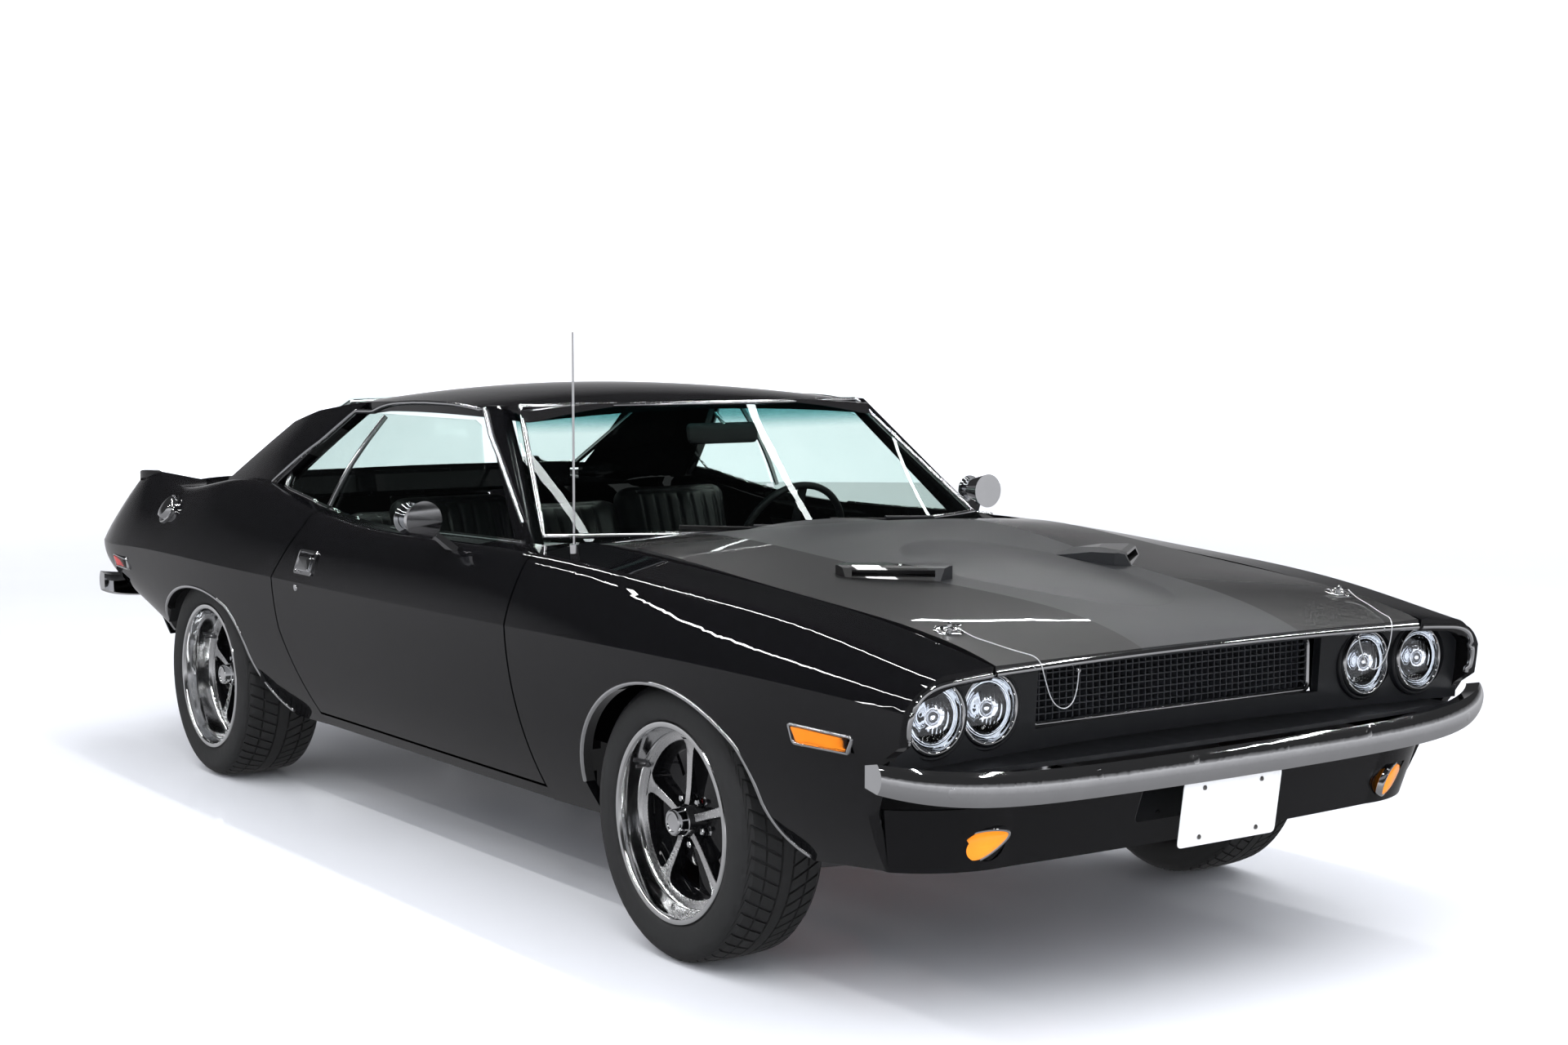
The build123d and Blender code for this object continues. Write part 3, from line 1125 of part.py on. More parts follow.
seats = {}
for side, sign in (("left", 1), ("right", -1)):
    ends = sorted((sign * (SEAT_Y - SEAT_HALF), sign * (SEAT_Y + SEAT_HALF)))
    seat = rounded_side(cushion_outline(SEAT_X, Z_FLOOR_TOP + 60, 520, SEAT_HEIGHT, 150), 30, ends)
    for leg_x in (SEAT_X + 60, SEAT_X + 420):
        leg_y = (ends[0] + 60, ends[1] - 60)
        seat = seat + box((leg_x, leg_x + 40), leg_y, (Z_FLOOR_TOP + SEAM, Z_FLOOR_TOP + 90))
    seats[side] = seat
rear_seat = side_prism(
    [
        (X_KICK_UP - 160, Z_TRUNK_FLOOR + FLOOR_THICKNESS + SEAM),
        (X_KICK_UP + 20, Z_FLOOR_TOP + SEAM + 40),
        (X_KICK_UP + 300, Z_FLOOR_TOP + SEAM + 60),
        (X_KICK_UP + 300, Z_FLOOR_TOP + 180),
        (X_KICK_UP - 130, Z_FLOOR_TOP + 190),
        (X_KICK_UP - 250, Z_SHELF - 20),
        (X_KICK_UP - 330, Z_SHELF - 20),
        (X_KICK_UP - 260, Z_TRUNK_FLOOR + FLOOR_THICKNESS + SEAM),
    ],
    (-REAR_SEAT_HALF, REAR_SEAT_HALF),
)
rear_seat = rear_seat - cylinder_x(X_TUNNEL, 0, TUNNEL_Z, TUNNEL_RADIUS + SEAM)

# Mirrors on the doors, antenna and fuel cap
mirror_x, mirror_y, mirror_z = X_DOOR_FRONT - 439, HALF_WIDTH + 10, 960.0
mirror_head = Pos(mirror_x, mirror_y, mirror_z) * Rot(0, 90, 0) * Cone(30, 52, 92)


def square(x, y, half_x, half_y):
    """The corners of a level rectangle about (x, y)."""
    turns = ((1, 1), (-1, 1), (-1, -1), (1, -1))
    return [(x + across * half_x, y + along * half_y) for across, along in turns]


mirror_foot = square(mirror_x + 52, mirror_y - 82, 20, 15)
mirror_neck = square(mirror_x + 10, mirror_y - 10, 12, 10)
mirror_stem = pillar(880.0, mirror_foot, 950.0, mirror_neck)
mirror_piece = mirror_head + largest(mirror_stem - door)
antenna_x, antenna_y = X_HOOD_REAR + 45, -(HOOD_HALF_REAR + HALF_WIDTH - 68) / 2
antenna = cylinder_z(antenna_x, antenna_y, (870, 1458), 3) + cylinder_z(antenna_x, antenna_y, (870, 925), 11)
antenna = largest(antenna - mirrored(fender))
fuel_cap = Pos(X_REAR_AXLE - 382, -905, 851) * Rot(90 - 25, 0, 0) * Cylinder(55, 40)
fuel_cap = largest(fuel_cap - mirrored(quarter))

# Everything that has a left and a right piece of its own
for side, make in (("left", lambda piece: piece), ("right", mirrored)):
    export("door_" + side, make(door))
    export("door_glass_" + side, make(door_glass))
    export("mirror_" + side, make(mirror_piece))
    export("quarter_" + side, make(quarter))
    export("fender_" + side, make(fender))
    export("knuckle_" + side, make(knuckle))
    export("seat_" + side, seats[side])
    for end, axle_x, rim, rubber in WHEELS:
        place = Pos(axle_x, 0, TYRE_RADIUS)
        export("wheel_" + end + "_" + side, make(place * rim))
        export("tyre_" + end + "_" + side, make(place * rubber))

PIECES = {
    "rockers": both(rocker),
    "roof_panel": roof,
    "hood": hood,
    "deck_lid": deck_lid,
    "tulip_panel": tulip,
    "cowl": cowl,
    "front_pillars": both(front_pillar),
    "windshield": windshield,
    "rear_window": rear_window,
    "quarter_glass": both(quarter_glass),
    "front_panel": front_panel,
    "grille": grille,
    "headlamps": Compound(children=headlamps),
    "front_bumper": front_bumper,
    "front_valance": front_valance,
    "parking_lamps": parking_lamps,
    "side_markers_front": both(front_marker),
    "side_markers_rear": both(rear_marker),
    "rear_panel": rear_panel,
    "tail_lamps": Compound(children=tail_lamps),
    "rear_bumper": rear_bumper,
    "rear_valance": rear_valance,
    "floor_pan": floor,
    "rear_wheel_housings": both(housing),
    "engine_bay_sides": both(bay_side),
    "front_suspension": crossmember,
    "rear_axle": rear_axle,
    "leaf_springs": both(spring),
    "engine": engine,
    "exhaust": both(pipe),
    "fuel_tank": fuel_tank,
    "dashboard": dashboard,
    "steering_column": column,
    "steering_wheel": steering_wheel,
    "rear_seat": rear_seat,
    "antenna": antenna,
    "fuel_cap": fuel_cap,
}
for name, piece in PIECES.items():
    export(name, piece)
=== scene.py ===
"""Looks of a black two-door hardtop muscle car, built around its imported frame."""

import json
import math

import bmesh
import bpy
from mathutils import Matrix, Vector
from mathutils.bvhtree import BVHTree


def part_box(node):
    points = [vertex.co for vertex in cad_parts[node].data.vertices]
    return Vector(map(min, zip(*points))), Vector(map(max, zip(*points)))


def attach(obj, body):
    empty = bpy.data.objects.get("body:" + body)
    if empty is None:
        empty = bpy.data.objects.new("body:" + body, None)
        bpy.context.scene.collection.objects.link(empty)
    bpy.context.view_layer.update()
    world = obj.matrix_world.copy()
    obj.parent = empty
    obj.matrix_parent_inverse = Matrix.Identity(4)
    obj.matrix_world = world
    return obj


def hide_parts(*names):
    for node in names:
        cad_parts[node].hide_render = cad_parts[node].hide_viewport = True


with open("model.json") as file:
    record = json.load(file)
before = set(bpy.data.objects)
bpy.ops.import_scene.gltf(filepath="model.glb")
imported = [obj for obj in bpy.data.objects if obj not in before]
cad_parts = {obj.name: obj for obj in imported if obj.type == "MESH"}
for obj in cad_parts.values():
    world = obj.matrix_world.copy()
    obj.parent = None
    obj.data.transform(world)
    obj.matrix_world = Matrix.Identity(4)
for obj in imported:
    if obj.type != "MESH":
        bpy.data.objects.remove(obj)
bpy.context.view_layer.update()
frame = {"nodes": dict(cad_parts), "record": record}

NODES = frame["nodes"]
scene = bpy.context.scene
SIDES = ((1, "left"), (-1, "right"))

# Camera, standing where the photograph was taken from
CAMERA_PLACE = (5.96936, -3.74679, 1.47313)
CAMERA_YAW, CAMERA_PITCH = 2.5245149, -0.08417
camera_data = bpy.data.cameras.new("camera")
camera_data.lens = 53.55
camera_data.sensor_width = 36.0
camera = bpy.data.objects.new("camera", camera_data)
camera.location = CAMERA_PLACE
level = math.cos(CAMERA_PITCH)
aim = Vector((level * math.cos(CAMERA_YAW), level * math.sin(CAMERA_YAW), math.sin(CAMERA_PITCH)))
camera.rotation_euler = aim.to_track_quat("-Z", "Y").to_euler()
scene.collection.objects.link(camera)
scene.camera = camera


# Materials
def wire(tree, start, end):
    tree.links.new(start, end)


def node(tree, kind, **values):
    made = tree.nodes.new(kind)
    for key, value in values.items():
        if hasattr(made, key):
            setattr(made, key, value)
        else:
            made.inputs[key.replace("_", " ")].default_value = value
    return made


def finish(
    name, colour, rough, metal=0.0, vary=0.08, scale=30.0, bump=0.0, grain=400.0, depth=0.001, **extra
):
    """A material whose colour and roughness drift by noise, with a fine grain where it has one."""
    made = bpy.data.materials.new(name)
    made.use_nodes = True
    tree = made.node_tree
    shader = tree.nodes["Principled BSDF"]
    shader.inputs["Metallic"].default_value = metal
    for socket, value in extra.items():
        shader.inputs[socket.replace("_", " ")].default_value = value
    place = node(tree, "ShaderNodeTexCoord")
    noise = node(tree, "ShaderNodeTexNoise", Scale=scale, Detail=6.0)
    wire(tree, place.outputs["Object"], noise.inputs["Vector"])
    ramp = node(tree, "ShaderNodeValToRGB")
    ends = ramp.color_ramp.elements
    ends[0].position, ends[1].position = 0.3, 0.7
    ends[0].color = (*[c * (1 - vary) for c in colour], 1.0)
    ends[1].color = (*[min(1.0, c * (1 + vary)) for c in colour], 1.0)
    wire(tree, noise.outputs["Fac"], ramp.inputs["Fac"])
    wire(tree, ramp.outputs["Color"], shader.inputs["Base Color"])
    spread = node(tree, "ShaderNodeMapRange")
    spread.inputs["To Min"].default_value = rough * 0.8
    spread.inputs["To Max"].default_value = min(1.0, rough * 1.2)
    wire(tree, noise.outputs["Fac"], spread.inputs["Value"])
    wire(tree, spread.outputs["Result"], shader.inputs["Roughness"])
    if bump:
        fine = node(tree, "ShaderNodeTexNoise", Scale=grain, Detail=3.0)
        wire(tree, place.outputs["Object"], fine.inputs["Vector"])
        lift = node(tree, "ShaderNodeBump", Strength=bump, Distance=depth)
        wire(tree, fine.outputs["Fac"], lift.inputs["Height"])
        wire(tree, lift.outputs["Normal"], shader.inputs["Normal"])
    return made


GLOSS = dict(Coat_Weight=1.0, Coat_Roughness=0.01, Coat_IOR=1.46, Specular_IOR_Level=0.0)
PAINT = finish("gloss_black_paint", (0.0035, 0.0035, 0.004), 0.35, scale=60, **GLOSS)
HOOD_PAINT = finish("hood_paint", (0.0035, 0.0035, 0.004), 0.35, scale=60, **GLOSS)
SATIN = finish(
    "satin_black_paint", (0.012, 0.013, 0.015), 0.42, bump=0.08, grain=900, Specular_IOR_Level=0.5
)
UNDER = finish("underbody_coat", (0.012, 0.012, 0.013), 0.75, bump=0.3, grain=160, depth=0.002)
CHROME = finish("chrome", (0.86, 0.87, 0.89), 0.045, metal=1.0, vary=0.03, scale=12)
BRIGHT = finish("bright_trim", (0.80, 0.81, 0.83), 0.14, metal=1.0, vary=0.04, scale=50)
POLISHED = finish("polished_rim", (0.88, 0.89, 0.90), 0.10, metal=1.0, vary=0.05, scale=18)
MACHINED = finish(
    "machined_face", (0.90, 0.90, 0.91), 0.27, metal=1.0, vary=0.05, scale=120, bump=0.05, grain=900
)
POCKET = finish("pocket_gloss_black", (0.004, 0.004, 0.0045), 0.3, **GLOSS)
BARREL = finish("rim_barrel", (0.22, 0.22, 0.23), 0.45, metal=1.0, vary=0.15)
RUBBER = finish("tyre_rubber", (0.018, 0.018, 0.018), 0.62, vary=0.2, scale=70, bump=0.25, grain=700)
# Black for the wiper blade rubber, and for the painted-shade sheet that closes the back of the grille
BLADE_RUBBER_AND_SHADE = finish("black_rubber_and_painted_shade", (0.008, 0.008, 0.008), 0.5, bump=0.1)
PLASTIC = finish("grille_plastic", (0.035, 0.038, 0.042), 0.38, bump=0.05, grain=800)
DASH = finish("dash_vinyl", (0.012, 0.012, 0.013), 0.5, bump=0.35, grain=900, depth=0.0006)
VINYL = finish("seat_vinyl", (0.011, 0.011, 0.012), 0.38, vary=0.2, bump=0.35, grain=700, depth=0.0008)
CAST = finish("cast_metal", (0.16, 0.16, 0.165), 0.5, metal=1.0, vary=0.2, bump=0.3, grain=300)
STEEL = finish("steel_pipe", (0.34, 0.33, 0.32), 0.38, metal=1.0, vary=0.2, scale=9)
ENGINE = finish("engine_paint", (0.42, 0.055, 0.012), 0.36, vary=0.12, bump=0.1, grain=220, Coat_Weight=0.4)
WRINKLE = finish("wrinkle_black", (0.013, 0.013, 0.014), 0.55, bump=0.6, grain=420, depth=0.0015)
CALIPER = finish("caliper_red", (0.55, 0.012, 0.008), 0.28, vary=0.1, Coat_Weight=0.6)
PLATE = finish("plate_white", (0.86, 0.86, 0.85), 0.3, vary=0.03, scale=20)
MIRROR = finish("mirror_glass", (0.80, 0.82, 0.84), 0.01, metal=1.0, vary=0.02)
DIAL = finish("dial_face", (0.010, 0.010, 0.011), 0.35, vary=0.1)
CLOCK = finish("dial_mark", (0.75, 0.76, 0.72), 0.5, vary=0.05)
CORD = finish("lanyard", (0.72, 0.73, 0.74), 0.35, metal=0.6, vary=0.15, scale=800)


def see_through(name, colour, rough, ior=1.45, **extra):
    """Clear or tinted glass and plastic, with faint drift in its colour."""
    return finish(name, colour, rough, vary=0.03, Transmission_Weight=1.0, IOR=ior, **extra)


LENS = see_through("lamp_glass", (0.97, 0.98, 0.99), 0.03)
AMBER = see_through("amber_lens", (1.0, 0.25, 0.01), 0.08)
PARKING = finish(
    "parking_amber", (0.95, 0.27, 0.015), 0.12, vary=0.15, scale=14, Coat_Weight=1.0,
    Emission_Color=(1.0, 0.33, 0.02, 1.0), Emission_Strength=0.35,
)
RED = see_through("red_lens", (0.75, 0.012, 0.010), 0.08)


def window_glass(name, band_low=None, band_high=None):
    """Thin window glass: clear straight through with a gloss, and a green band at the top if it has one."""
    made = bpy.data.materials.new(name)
    made.use_nodes = True
    tree = made.node_tree
    tree.nodes.remove(tree.nodes["Principled BSDF"])
    out = tree.nodes["Material Output"]
    gloss = node(tree, "ShaderNodeBsdfGlossy", Roughness=0.01, Color=(0.30, 0.32, 0.32, 1))
    clear = node(tree, "ShaderNodeBsdfTransparent")
    mix = node(tree, "ShaderNodeMixShader")
    edge = node(tree, "ShaderNodeFresnel", IOR=1.5)
    facing = node(tree, "ShaderNodeNewGeometry")
    front = node(tree, "ShaderNodeMath", operation="SUBTRACT")
    front.inputs[0].default_value = 1.0
    wire(tree, facing.outputs["Backfacing"], front.inputs[1])
    shine = node(tree, "ShaderNodeMath", operation="MULTIPLY")
    wire(tree, edge.outputs["Fac"], shine.inputs[0])
    wire(tree, front.outputs["Value"], shine.inputs[1])
    wire(tree, shine.outputs["Value"], mix.inputs["Fac"])
    wire(tree, clear.outputs["BSDF"], mix.inputs[1])
    wire(tree, gloss.outputs["BSDF"], mix.inputs[2])
    wire(tree, mix.outputs["Shader"], out.inputs["Surface"])
    place = node(tree, "ShaderNodeTexCoord")
    noise = node(tree, "ShaderNodeTexNoise", Scale=6.0)
    wire(tree, place.outputs["Object"], noise.inputs["Vector"])
    tint = node(tree, "ShaderNodeValToRGB")
    ends = tint.color_ramp.elements
    ends[0].color, ends[1].color = (0.84, 0.89, 0.87, 1), (0.87, 0.91, 0.89, 1)
    wire(tree, noise.outputs["Fac"], tint.inputs["Fac"])
    colour = tint.outputs["Color"]
    if band_low is not None:
        split = node(tree, "ShaderNodeSeparateXYZ")
        wire(tree, place.outputs["Object"], split.inputs["Vector"])
        rise = node(tree, "ShaderNodeMapRange", interpolation_type="SMOOTHSTEP")
        rise.inputs["From Min"].default_value = band_low
        rise.inputs["From Max"].default_value = band_high
        wire(tree, split.outputs["Z"], rise.inputs["Value"])
        band = node(tree, "ShaderNodeMix", data_type="RGBA")
        for socket in band.inputs:
            if socket.name == "B" and socket.type == "RGBA":
                socket.default_value = (0.30, 0.52, 0.52, 1)
            if socket.name == "A" and socket.type == "RGBA":
                wire(tree, colour, socket)
            if socket.name == "Factor" and socket.type == "VALUE":
                wire(tree, rise.outputs["Result"], socket)
        colour = [s for s in band.outputs if s.type == "RGBA"][0]
    wire(tree, colour, clear.inputs["Color"])
    return made


GLASS = window_glass("window_glass")
SCREEN_GLASS = window_glass("windshield_glass", 1.17, 1.23)


def satin_centre(made, front, rear, half_front, half_rear):
    """Make the middle of the hood satin dark grey between curved edges, by place on the hood."""
    tree = made.node_tree
    shader = tree.nodes["Principled BSDF"]
    place = node(tree, "ShaderNodeTexCoord")
    split = node(tree, "ShaderNodeSeparateXYZ")
    wire(tree, place.outputs["Object"], split.inputs["Vector"])
    edge = node(tree, "ShaderNodeMapRange", interpolation_type="SMOOTHSTEP")
    for socket, value in (
        ("From Min", front), ("From Max", rear), ("To Min", half_front), ("To Max", half_rear)
    ):
        edge.inputs[socket].default_value = value
    wire(tree, split.outputs["X"], edge.inputs["Value"])
    across = node(tree, "ShaderNodeMath", operation="ABSOLUTE")
    wire(tree, split.outputs["Y"], across.inputs[0])
    inside = node(tree, "ShaderNodeMath", operation="SUBTRACT")
    wire(tree, edge.outputs["Result"], inside.inputs[0])
    wire(tree, across.outputs["Value"], inside.inputs[1])
    mask = node(tree, "ShaderNodeMapRange")
    for socket, value in (("From Min", -0.0008), ("From Max", 0.0008), ("To Min", 0.0), ("To Max", 1.0)):
        mask.inputs[socket].default_value = value
    wire(tree, inside.outputs["Value"], mask.inputs["Value"])
    for socket, low, high in (("Coat Weight", 1.0, 0.0), ("Roughness", 0.35, 0.36)):
        change = node(tree, "ShaderNodeMapRange")
        change.inputs["To Min"].default_value = low
        change.inputs["To Max"].default_value = high
        wire(tree, mask.outputs["Result"], change.inputs["Value"])
        wire(tree, change.outputs["Result"], shader.inputs[socket])
    shade = node(tree, "ShaderNodeValToRGB")
    ends = shade.color_ramp.elements
    ends[0].color, ends[1].color = (0.0035, 0.0035, 0.004, 1), (0.020, 0.021, 0.023, 1)
    wire(tree, mask.outputs["Result"], shade.inputs["Fac"])
    wire(tree, shade.outputs["Color"], shader.inputs["Base Color"])
    shader.inputs["Specular IOR Level"].default_value = 0.5


satin_centre(HOOD_PAINT, 2.36, 0.95, 0.245, 0.42)

BY_SLOT = {
    "body_paint": PAINT,
    "satin_paint": SATIN,
    "under_paint": UNDER,
    "glass": GLASS,
    "lamp_clear": LENS,
    "lamp_amber": AMBER,
    "lamp_red": RED,
    "chrome": CHROME,
    "tyre": RUBBER,
    "wheel_metal": POLISHED,
    "cast": CAST,
    "steel": STEEL,
    "grille_plastic": PLASTIC,
    "dash_plastic": DASH,
    "vinyl": VINYL,
}
BY_NODE = {
    "hood": HOOD_PAINT, "windshield": SCREEN_GLASS, "engine": ENGINE, "front_valance": PAINT,
    "rear_valance": PAINT
}


def slots_of(record):
    """Each CAD node's material slot, as the record gives it."""
    found = {}

    def look(part):
        if isinstance(part, dict):
            if "node" in part and "material_slot" in part:
                found[part["node"]] = part["material_slot"]
            for value in part.values():
                look(value)
        elif isinstance(part, list):
            for value in part:
                look(value)

    look(record)
    return found


node_slots = slots_of(frame["record"])
for name, obj in NODES.items():
    obj.data.materials.clear()
    obj.data.materials.append(BY_NODE.get(name) or BY_SLOT[node_slots[name]])

# Reading places off the CAD surfaces
TREES = {}


def surface(*names):
    """A search tree over one or more CAD nodes."""
    if names not in TREES:
        points, faces = [], []
        for name in names:
            mesh = NODES[name].data
            base = len(points)
            points += [v.co.copy() for v in mesh.vertices]
            faces += [[base + i for i in p.vertices] for p in mesh.polygons]
        TREES[names] = BVHTree.FromPolygons(points, faces)
    return TREES[names]


def hit(names, origin, direction):
    """Where a ray first meets the named nodes, and the way out there; the nearest point if it misses."""
    direction = Vector(direction).normalized()
    found = surface(*names).ray_cast(Vector(origin), direction)
    if found[0] is None:
        found = surface(*names).find_nearest(Vector(origin) + direction * 0.4)
    point, normal = found[0], found[1]
    return point, (normal if normal.dot(direction) < 0 else -normal)


def from_side(names, sign, x, z):
    return hit(names, (x, sign * 1.4, z), (0, -sign, 0))


def from_front(names, y, z):
    return hit(names, (3.0, y, z), (-1, 0, 0))


def from_above(names, x, y):
    return hit(names, (x, y, 2.0), (0, 0, -1))


# Making meshes
class Shape:
    """Faces gathered for one piece, each with its own material."""

    def __init__(self):
        self.points, self.faces, self.marks, self.materials = [], [], [], []

    def add(self, made, material):
        points, faces = made
        base = len(self.points)
        self.points += [Vector(p) for p in points]
        self.faces += [[base + i for i in face] for face in faces]
        if material not in self.materials:
            self.materials.append(material)
        self.marks += [self.materials.index(material)] * len(faces)
        return self

    def make(self, name, body, slot, stands_for=(), angle=32):
        mesh = bpy.data.meshes.new(name)
        mesh.from_pydata(self.points, [], self.faces)
        for material in self.materials:
            mesh.materials.append(material)
        mesh.polygons.foreach_set("material_index", self.marks)
        work = bmesh.new()
        work.from_mesh(mesh)
        bmesh.ops.remove_doubles(work, verts=work.verts, dist=2e-6)
        bmesh.ops.recalc_face_normals(work, faces=work.faces)
        work.to_mesh(mesh)
        work.free()
        mesh.shade_smooth()
        mesh.set_sharp_from_angle(angle=math.radians(angle))
        obj = bpy.data.objects.new(name, mesh)
        scene.collection.objects.link(obj)
        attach(obj, body)
        if stands_for:
            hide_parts(*stands_for)
        return obj


def across(axis):
    """Two directions square to an axis, the second as near to up as it can be."""
    axis = Vector(axis).normalized()
    up = Vector((0, 0, 1)) if abs(axis.z) < 0.9 else Vector((1, 0, 0))
    side = up.cross(axis).normalized()
    return axis, side, axis.cross(side).normalized()


def strip(rows, closed_rows=False, closed_ring=True, caps=False):
    """Faces between rings of points that all have the same count."""
    size = len(rows[0])
    points = [p for row in rows for p in row]
    faces = []
    for i in range(len(rows) if closed_rows else len(rows) - 1):
        a, b = i * size, ((i + 1) % len(rows)) * size
        for k in range(size if closed_ring else size - 1):
            n = (k + 1) % size
            faces.append([a + k, a + n, b + n, b + k])
    if caps:
        faces.append(list(range(size))[::-1])
        faces.append(list(range((len(rows) - 1) * size, len(rows) * size)))
    return points, faces


def turned(profile, count, centre, axis):
    """A profile of (radius, distance along the axis) turned about an axis through a centre."""
    axis, side, up = across(axis)
    centre = Vector(centre)
    turns = [2 * math.pi * k / count for k in range(count)]
    return strip([[centre + axis * along + (side * math.cos(a) + up * math.sin(a)) * radius for a in turns]
                  for radius, along in profile])


def swept(path, ways, section, closed=False):
    """A section of (sideways, outward) points carried along a path whose outward directions are given."""
    count = len(path)
    rows = []
    for i, (point, way) in enumerate(zip(path, ways)):
        before = path[i - 1] if i or closed else point
        after = path[(i + 1) % count] if i + 1 < count or closed else point
        along = (after - before).normalized()
        side = along.cross(way).normalized()
        out = side.cross(along).normalized()
        rows.append([point + side * s + out * o for s, o in section])
    return strip(rows, closed_rows=closed, caps=not closed)


def half_round(width, height, sink=0.003):
    w, h = width / 2, height
    return [
        (-w, -sink), (-w, h * 0.25), (-w * 0.72, h * 0.8), (-w * 0.3, h), (w * 0.3, h),
        (w * 0.72, h * 0.8), (w, h * 0.25), (w, -sink)
    ]


def ring_section(radius, count=10):
    return [
        (radius * math.cos(2 * math.pi * k / count), radius * math.sin(2 * math.pi * k / count))
        for k in range(count)
    ]


def block(low, high, bevel=0.0):
    """A box with its edges eased by a bevel."""
    (x0, y0, z0), (x1, y1, z1) = low, high
    if not bevel:
        points = [(x, y, z) for z in (z0, z1) for x, y in ((x0, y0), (x1, y0), (x1, y1), (x0, y1))]
        return points, [[3, 2, 1, 0], [4, 5, 6, 7], [0, 1, 5, 4], [1, 2, 6, 5], [2, 3, 7, 6], [3, 0, 4, 7]]
    work = bmesh.new()
    bmesh.ops.create_cube(work, size=1)
    size, middle = Vector((x1 - x0, y1 - y0, z1 - z0)), Vector((x0 + x1, y0 + y1, z0 + z1)) / 2
    for v in work.verts:
        v.co = Vector((v.co.x * size.x, v.co.y * size.y, v.co.z * size.z)) + middle
    bmesh.ops.bevel(work, geom=work.edges[:], offset=bevel, segments=3, affect="EDGES", profile=0.5)
    work.verts.index_update()
    made = [v.co.copy() for v in work.verts], [[v.index for v in f.verts] for f in work.faces]
    work.free()
    return made


def through(points, per=8, closed=False):
    """A smooth line through points."""
    points = [Vector(p) for p in points]
    count = len(points)
    line = []
    for i in range(count if closed else count - 1):
        if closed:
            a, b, c, d = (points[(i + k) % count] for k in (-1, 0, 1, 2))
        else:
            a, b = points[max(i - 1, 0)], points[i]
            c, d = points[i + 1], points[min(i + 2, count - 1)]
        for k in range(per):
            t = k / per
            line.append(
                0.5 * (
                    2 * b + (c - a) * t + (
                        2 * a - 5 * b + 4 * c - d
                    ) * t**2 + (3 * b - a - 3 * c + d) * t**3
                )
            )
    if not closed:
        line.append(points[-1])
    return line


def arc_through(a, b, c, count):
    """Points on the arc from a through b to c, in two dimensions."""
    (ax, ay), (bx, by), (cx, cy) = a, b, c
    d = 2 * (ax * (by - cy) + bx * (cy - ay) + cx * (ay - by))
    sa, sb, sc = ax * ax + ay * ay, bx * bx + by * by, cx * cx + cy * cy
    ux = (sa * (by - cy) + sb * (cy - ay) + sc * (ay - by)) / d
    uy = (sa * (cx - bx) + sb * (ax - cx) + sc * (bx - ax)) / d
    radius = math.hypot(ax - ux, ay - uy)
    start, middle, end = (math.atan2(y - uy, x - ux) for x, y in (a, b, c))
    if (middle - start) % (2 * math.pi) <= (end - start) % (2 * math.pi):
        sweep = (end - start) % (2 * math.pi)
    else:
        sweep = -((start - end) % (2 * math.pi))
    return [
        (
            ux + radius * math.cos(start + sweep * k / count),
            uy + radius * math.sin(start + sweep * k / count)
        ) for k in range(count + 1)
    ]


def rounded(corners, radius, per=5):
    """A closed outline in two dimensions with each corner rounded."""
    outline = []
    count = len(corners)
    for i in range(count):
        corner, before, after = (Vector(corners[k % count]) for k in (i, i - 1, i + 1))
        start = corner + (before - corner).normalized() * radius
        end = corner + (after - corner).normalized() * radius
        for k in range(per + 1):
            t = k / per
            outline.append(start * (1 - t) ** 2 + corner * 2 * t * (1 - t) + end * t**2)
    return outline


def layered(outline, place, levels):
    """A closed lump over an outline: each level is a scale and a height, given to place()."""
    middle = sum((Vector(p) for p in outline), Vector((0, 0))) / len(outline)
    rows = [
        [place(middle + (Vector(p) - middle) * scale, height) for p in outline] for scale,
        height in levels
    ]
    return strip(rows, caps=True)


# Wheels and tyres
AXLES = {"front": (1.485, 0.893, 0.214, 0.062), "rear": (-1.309, 0.899, 0.252, 0.098)}
WHEEL_Z, TYRE_RADIUS = 0.328, 0.328
SPOKES = 5


def wheel_frame(end, sign):
    """The wheel's middle at the lip plane, and a way to place (turn, radius, depth) points in it."""
    x, lip_y, width, dish = AXLES[end]
    centre = Vector((x, sign * lip_y, WHEEL_Z))

    def place(turn, radius, depth):
        return centre + Vector((radius * math.cos(turn), -sign * depth, radius * math.sin(turn)))

    return centre, place, width, dish


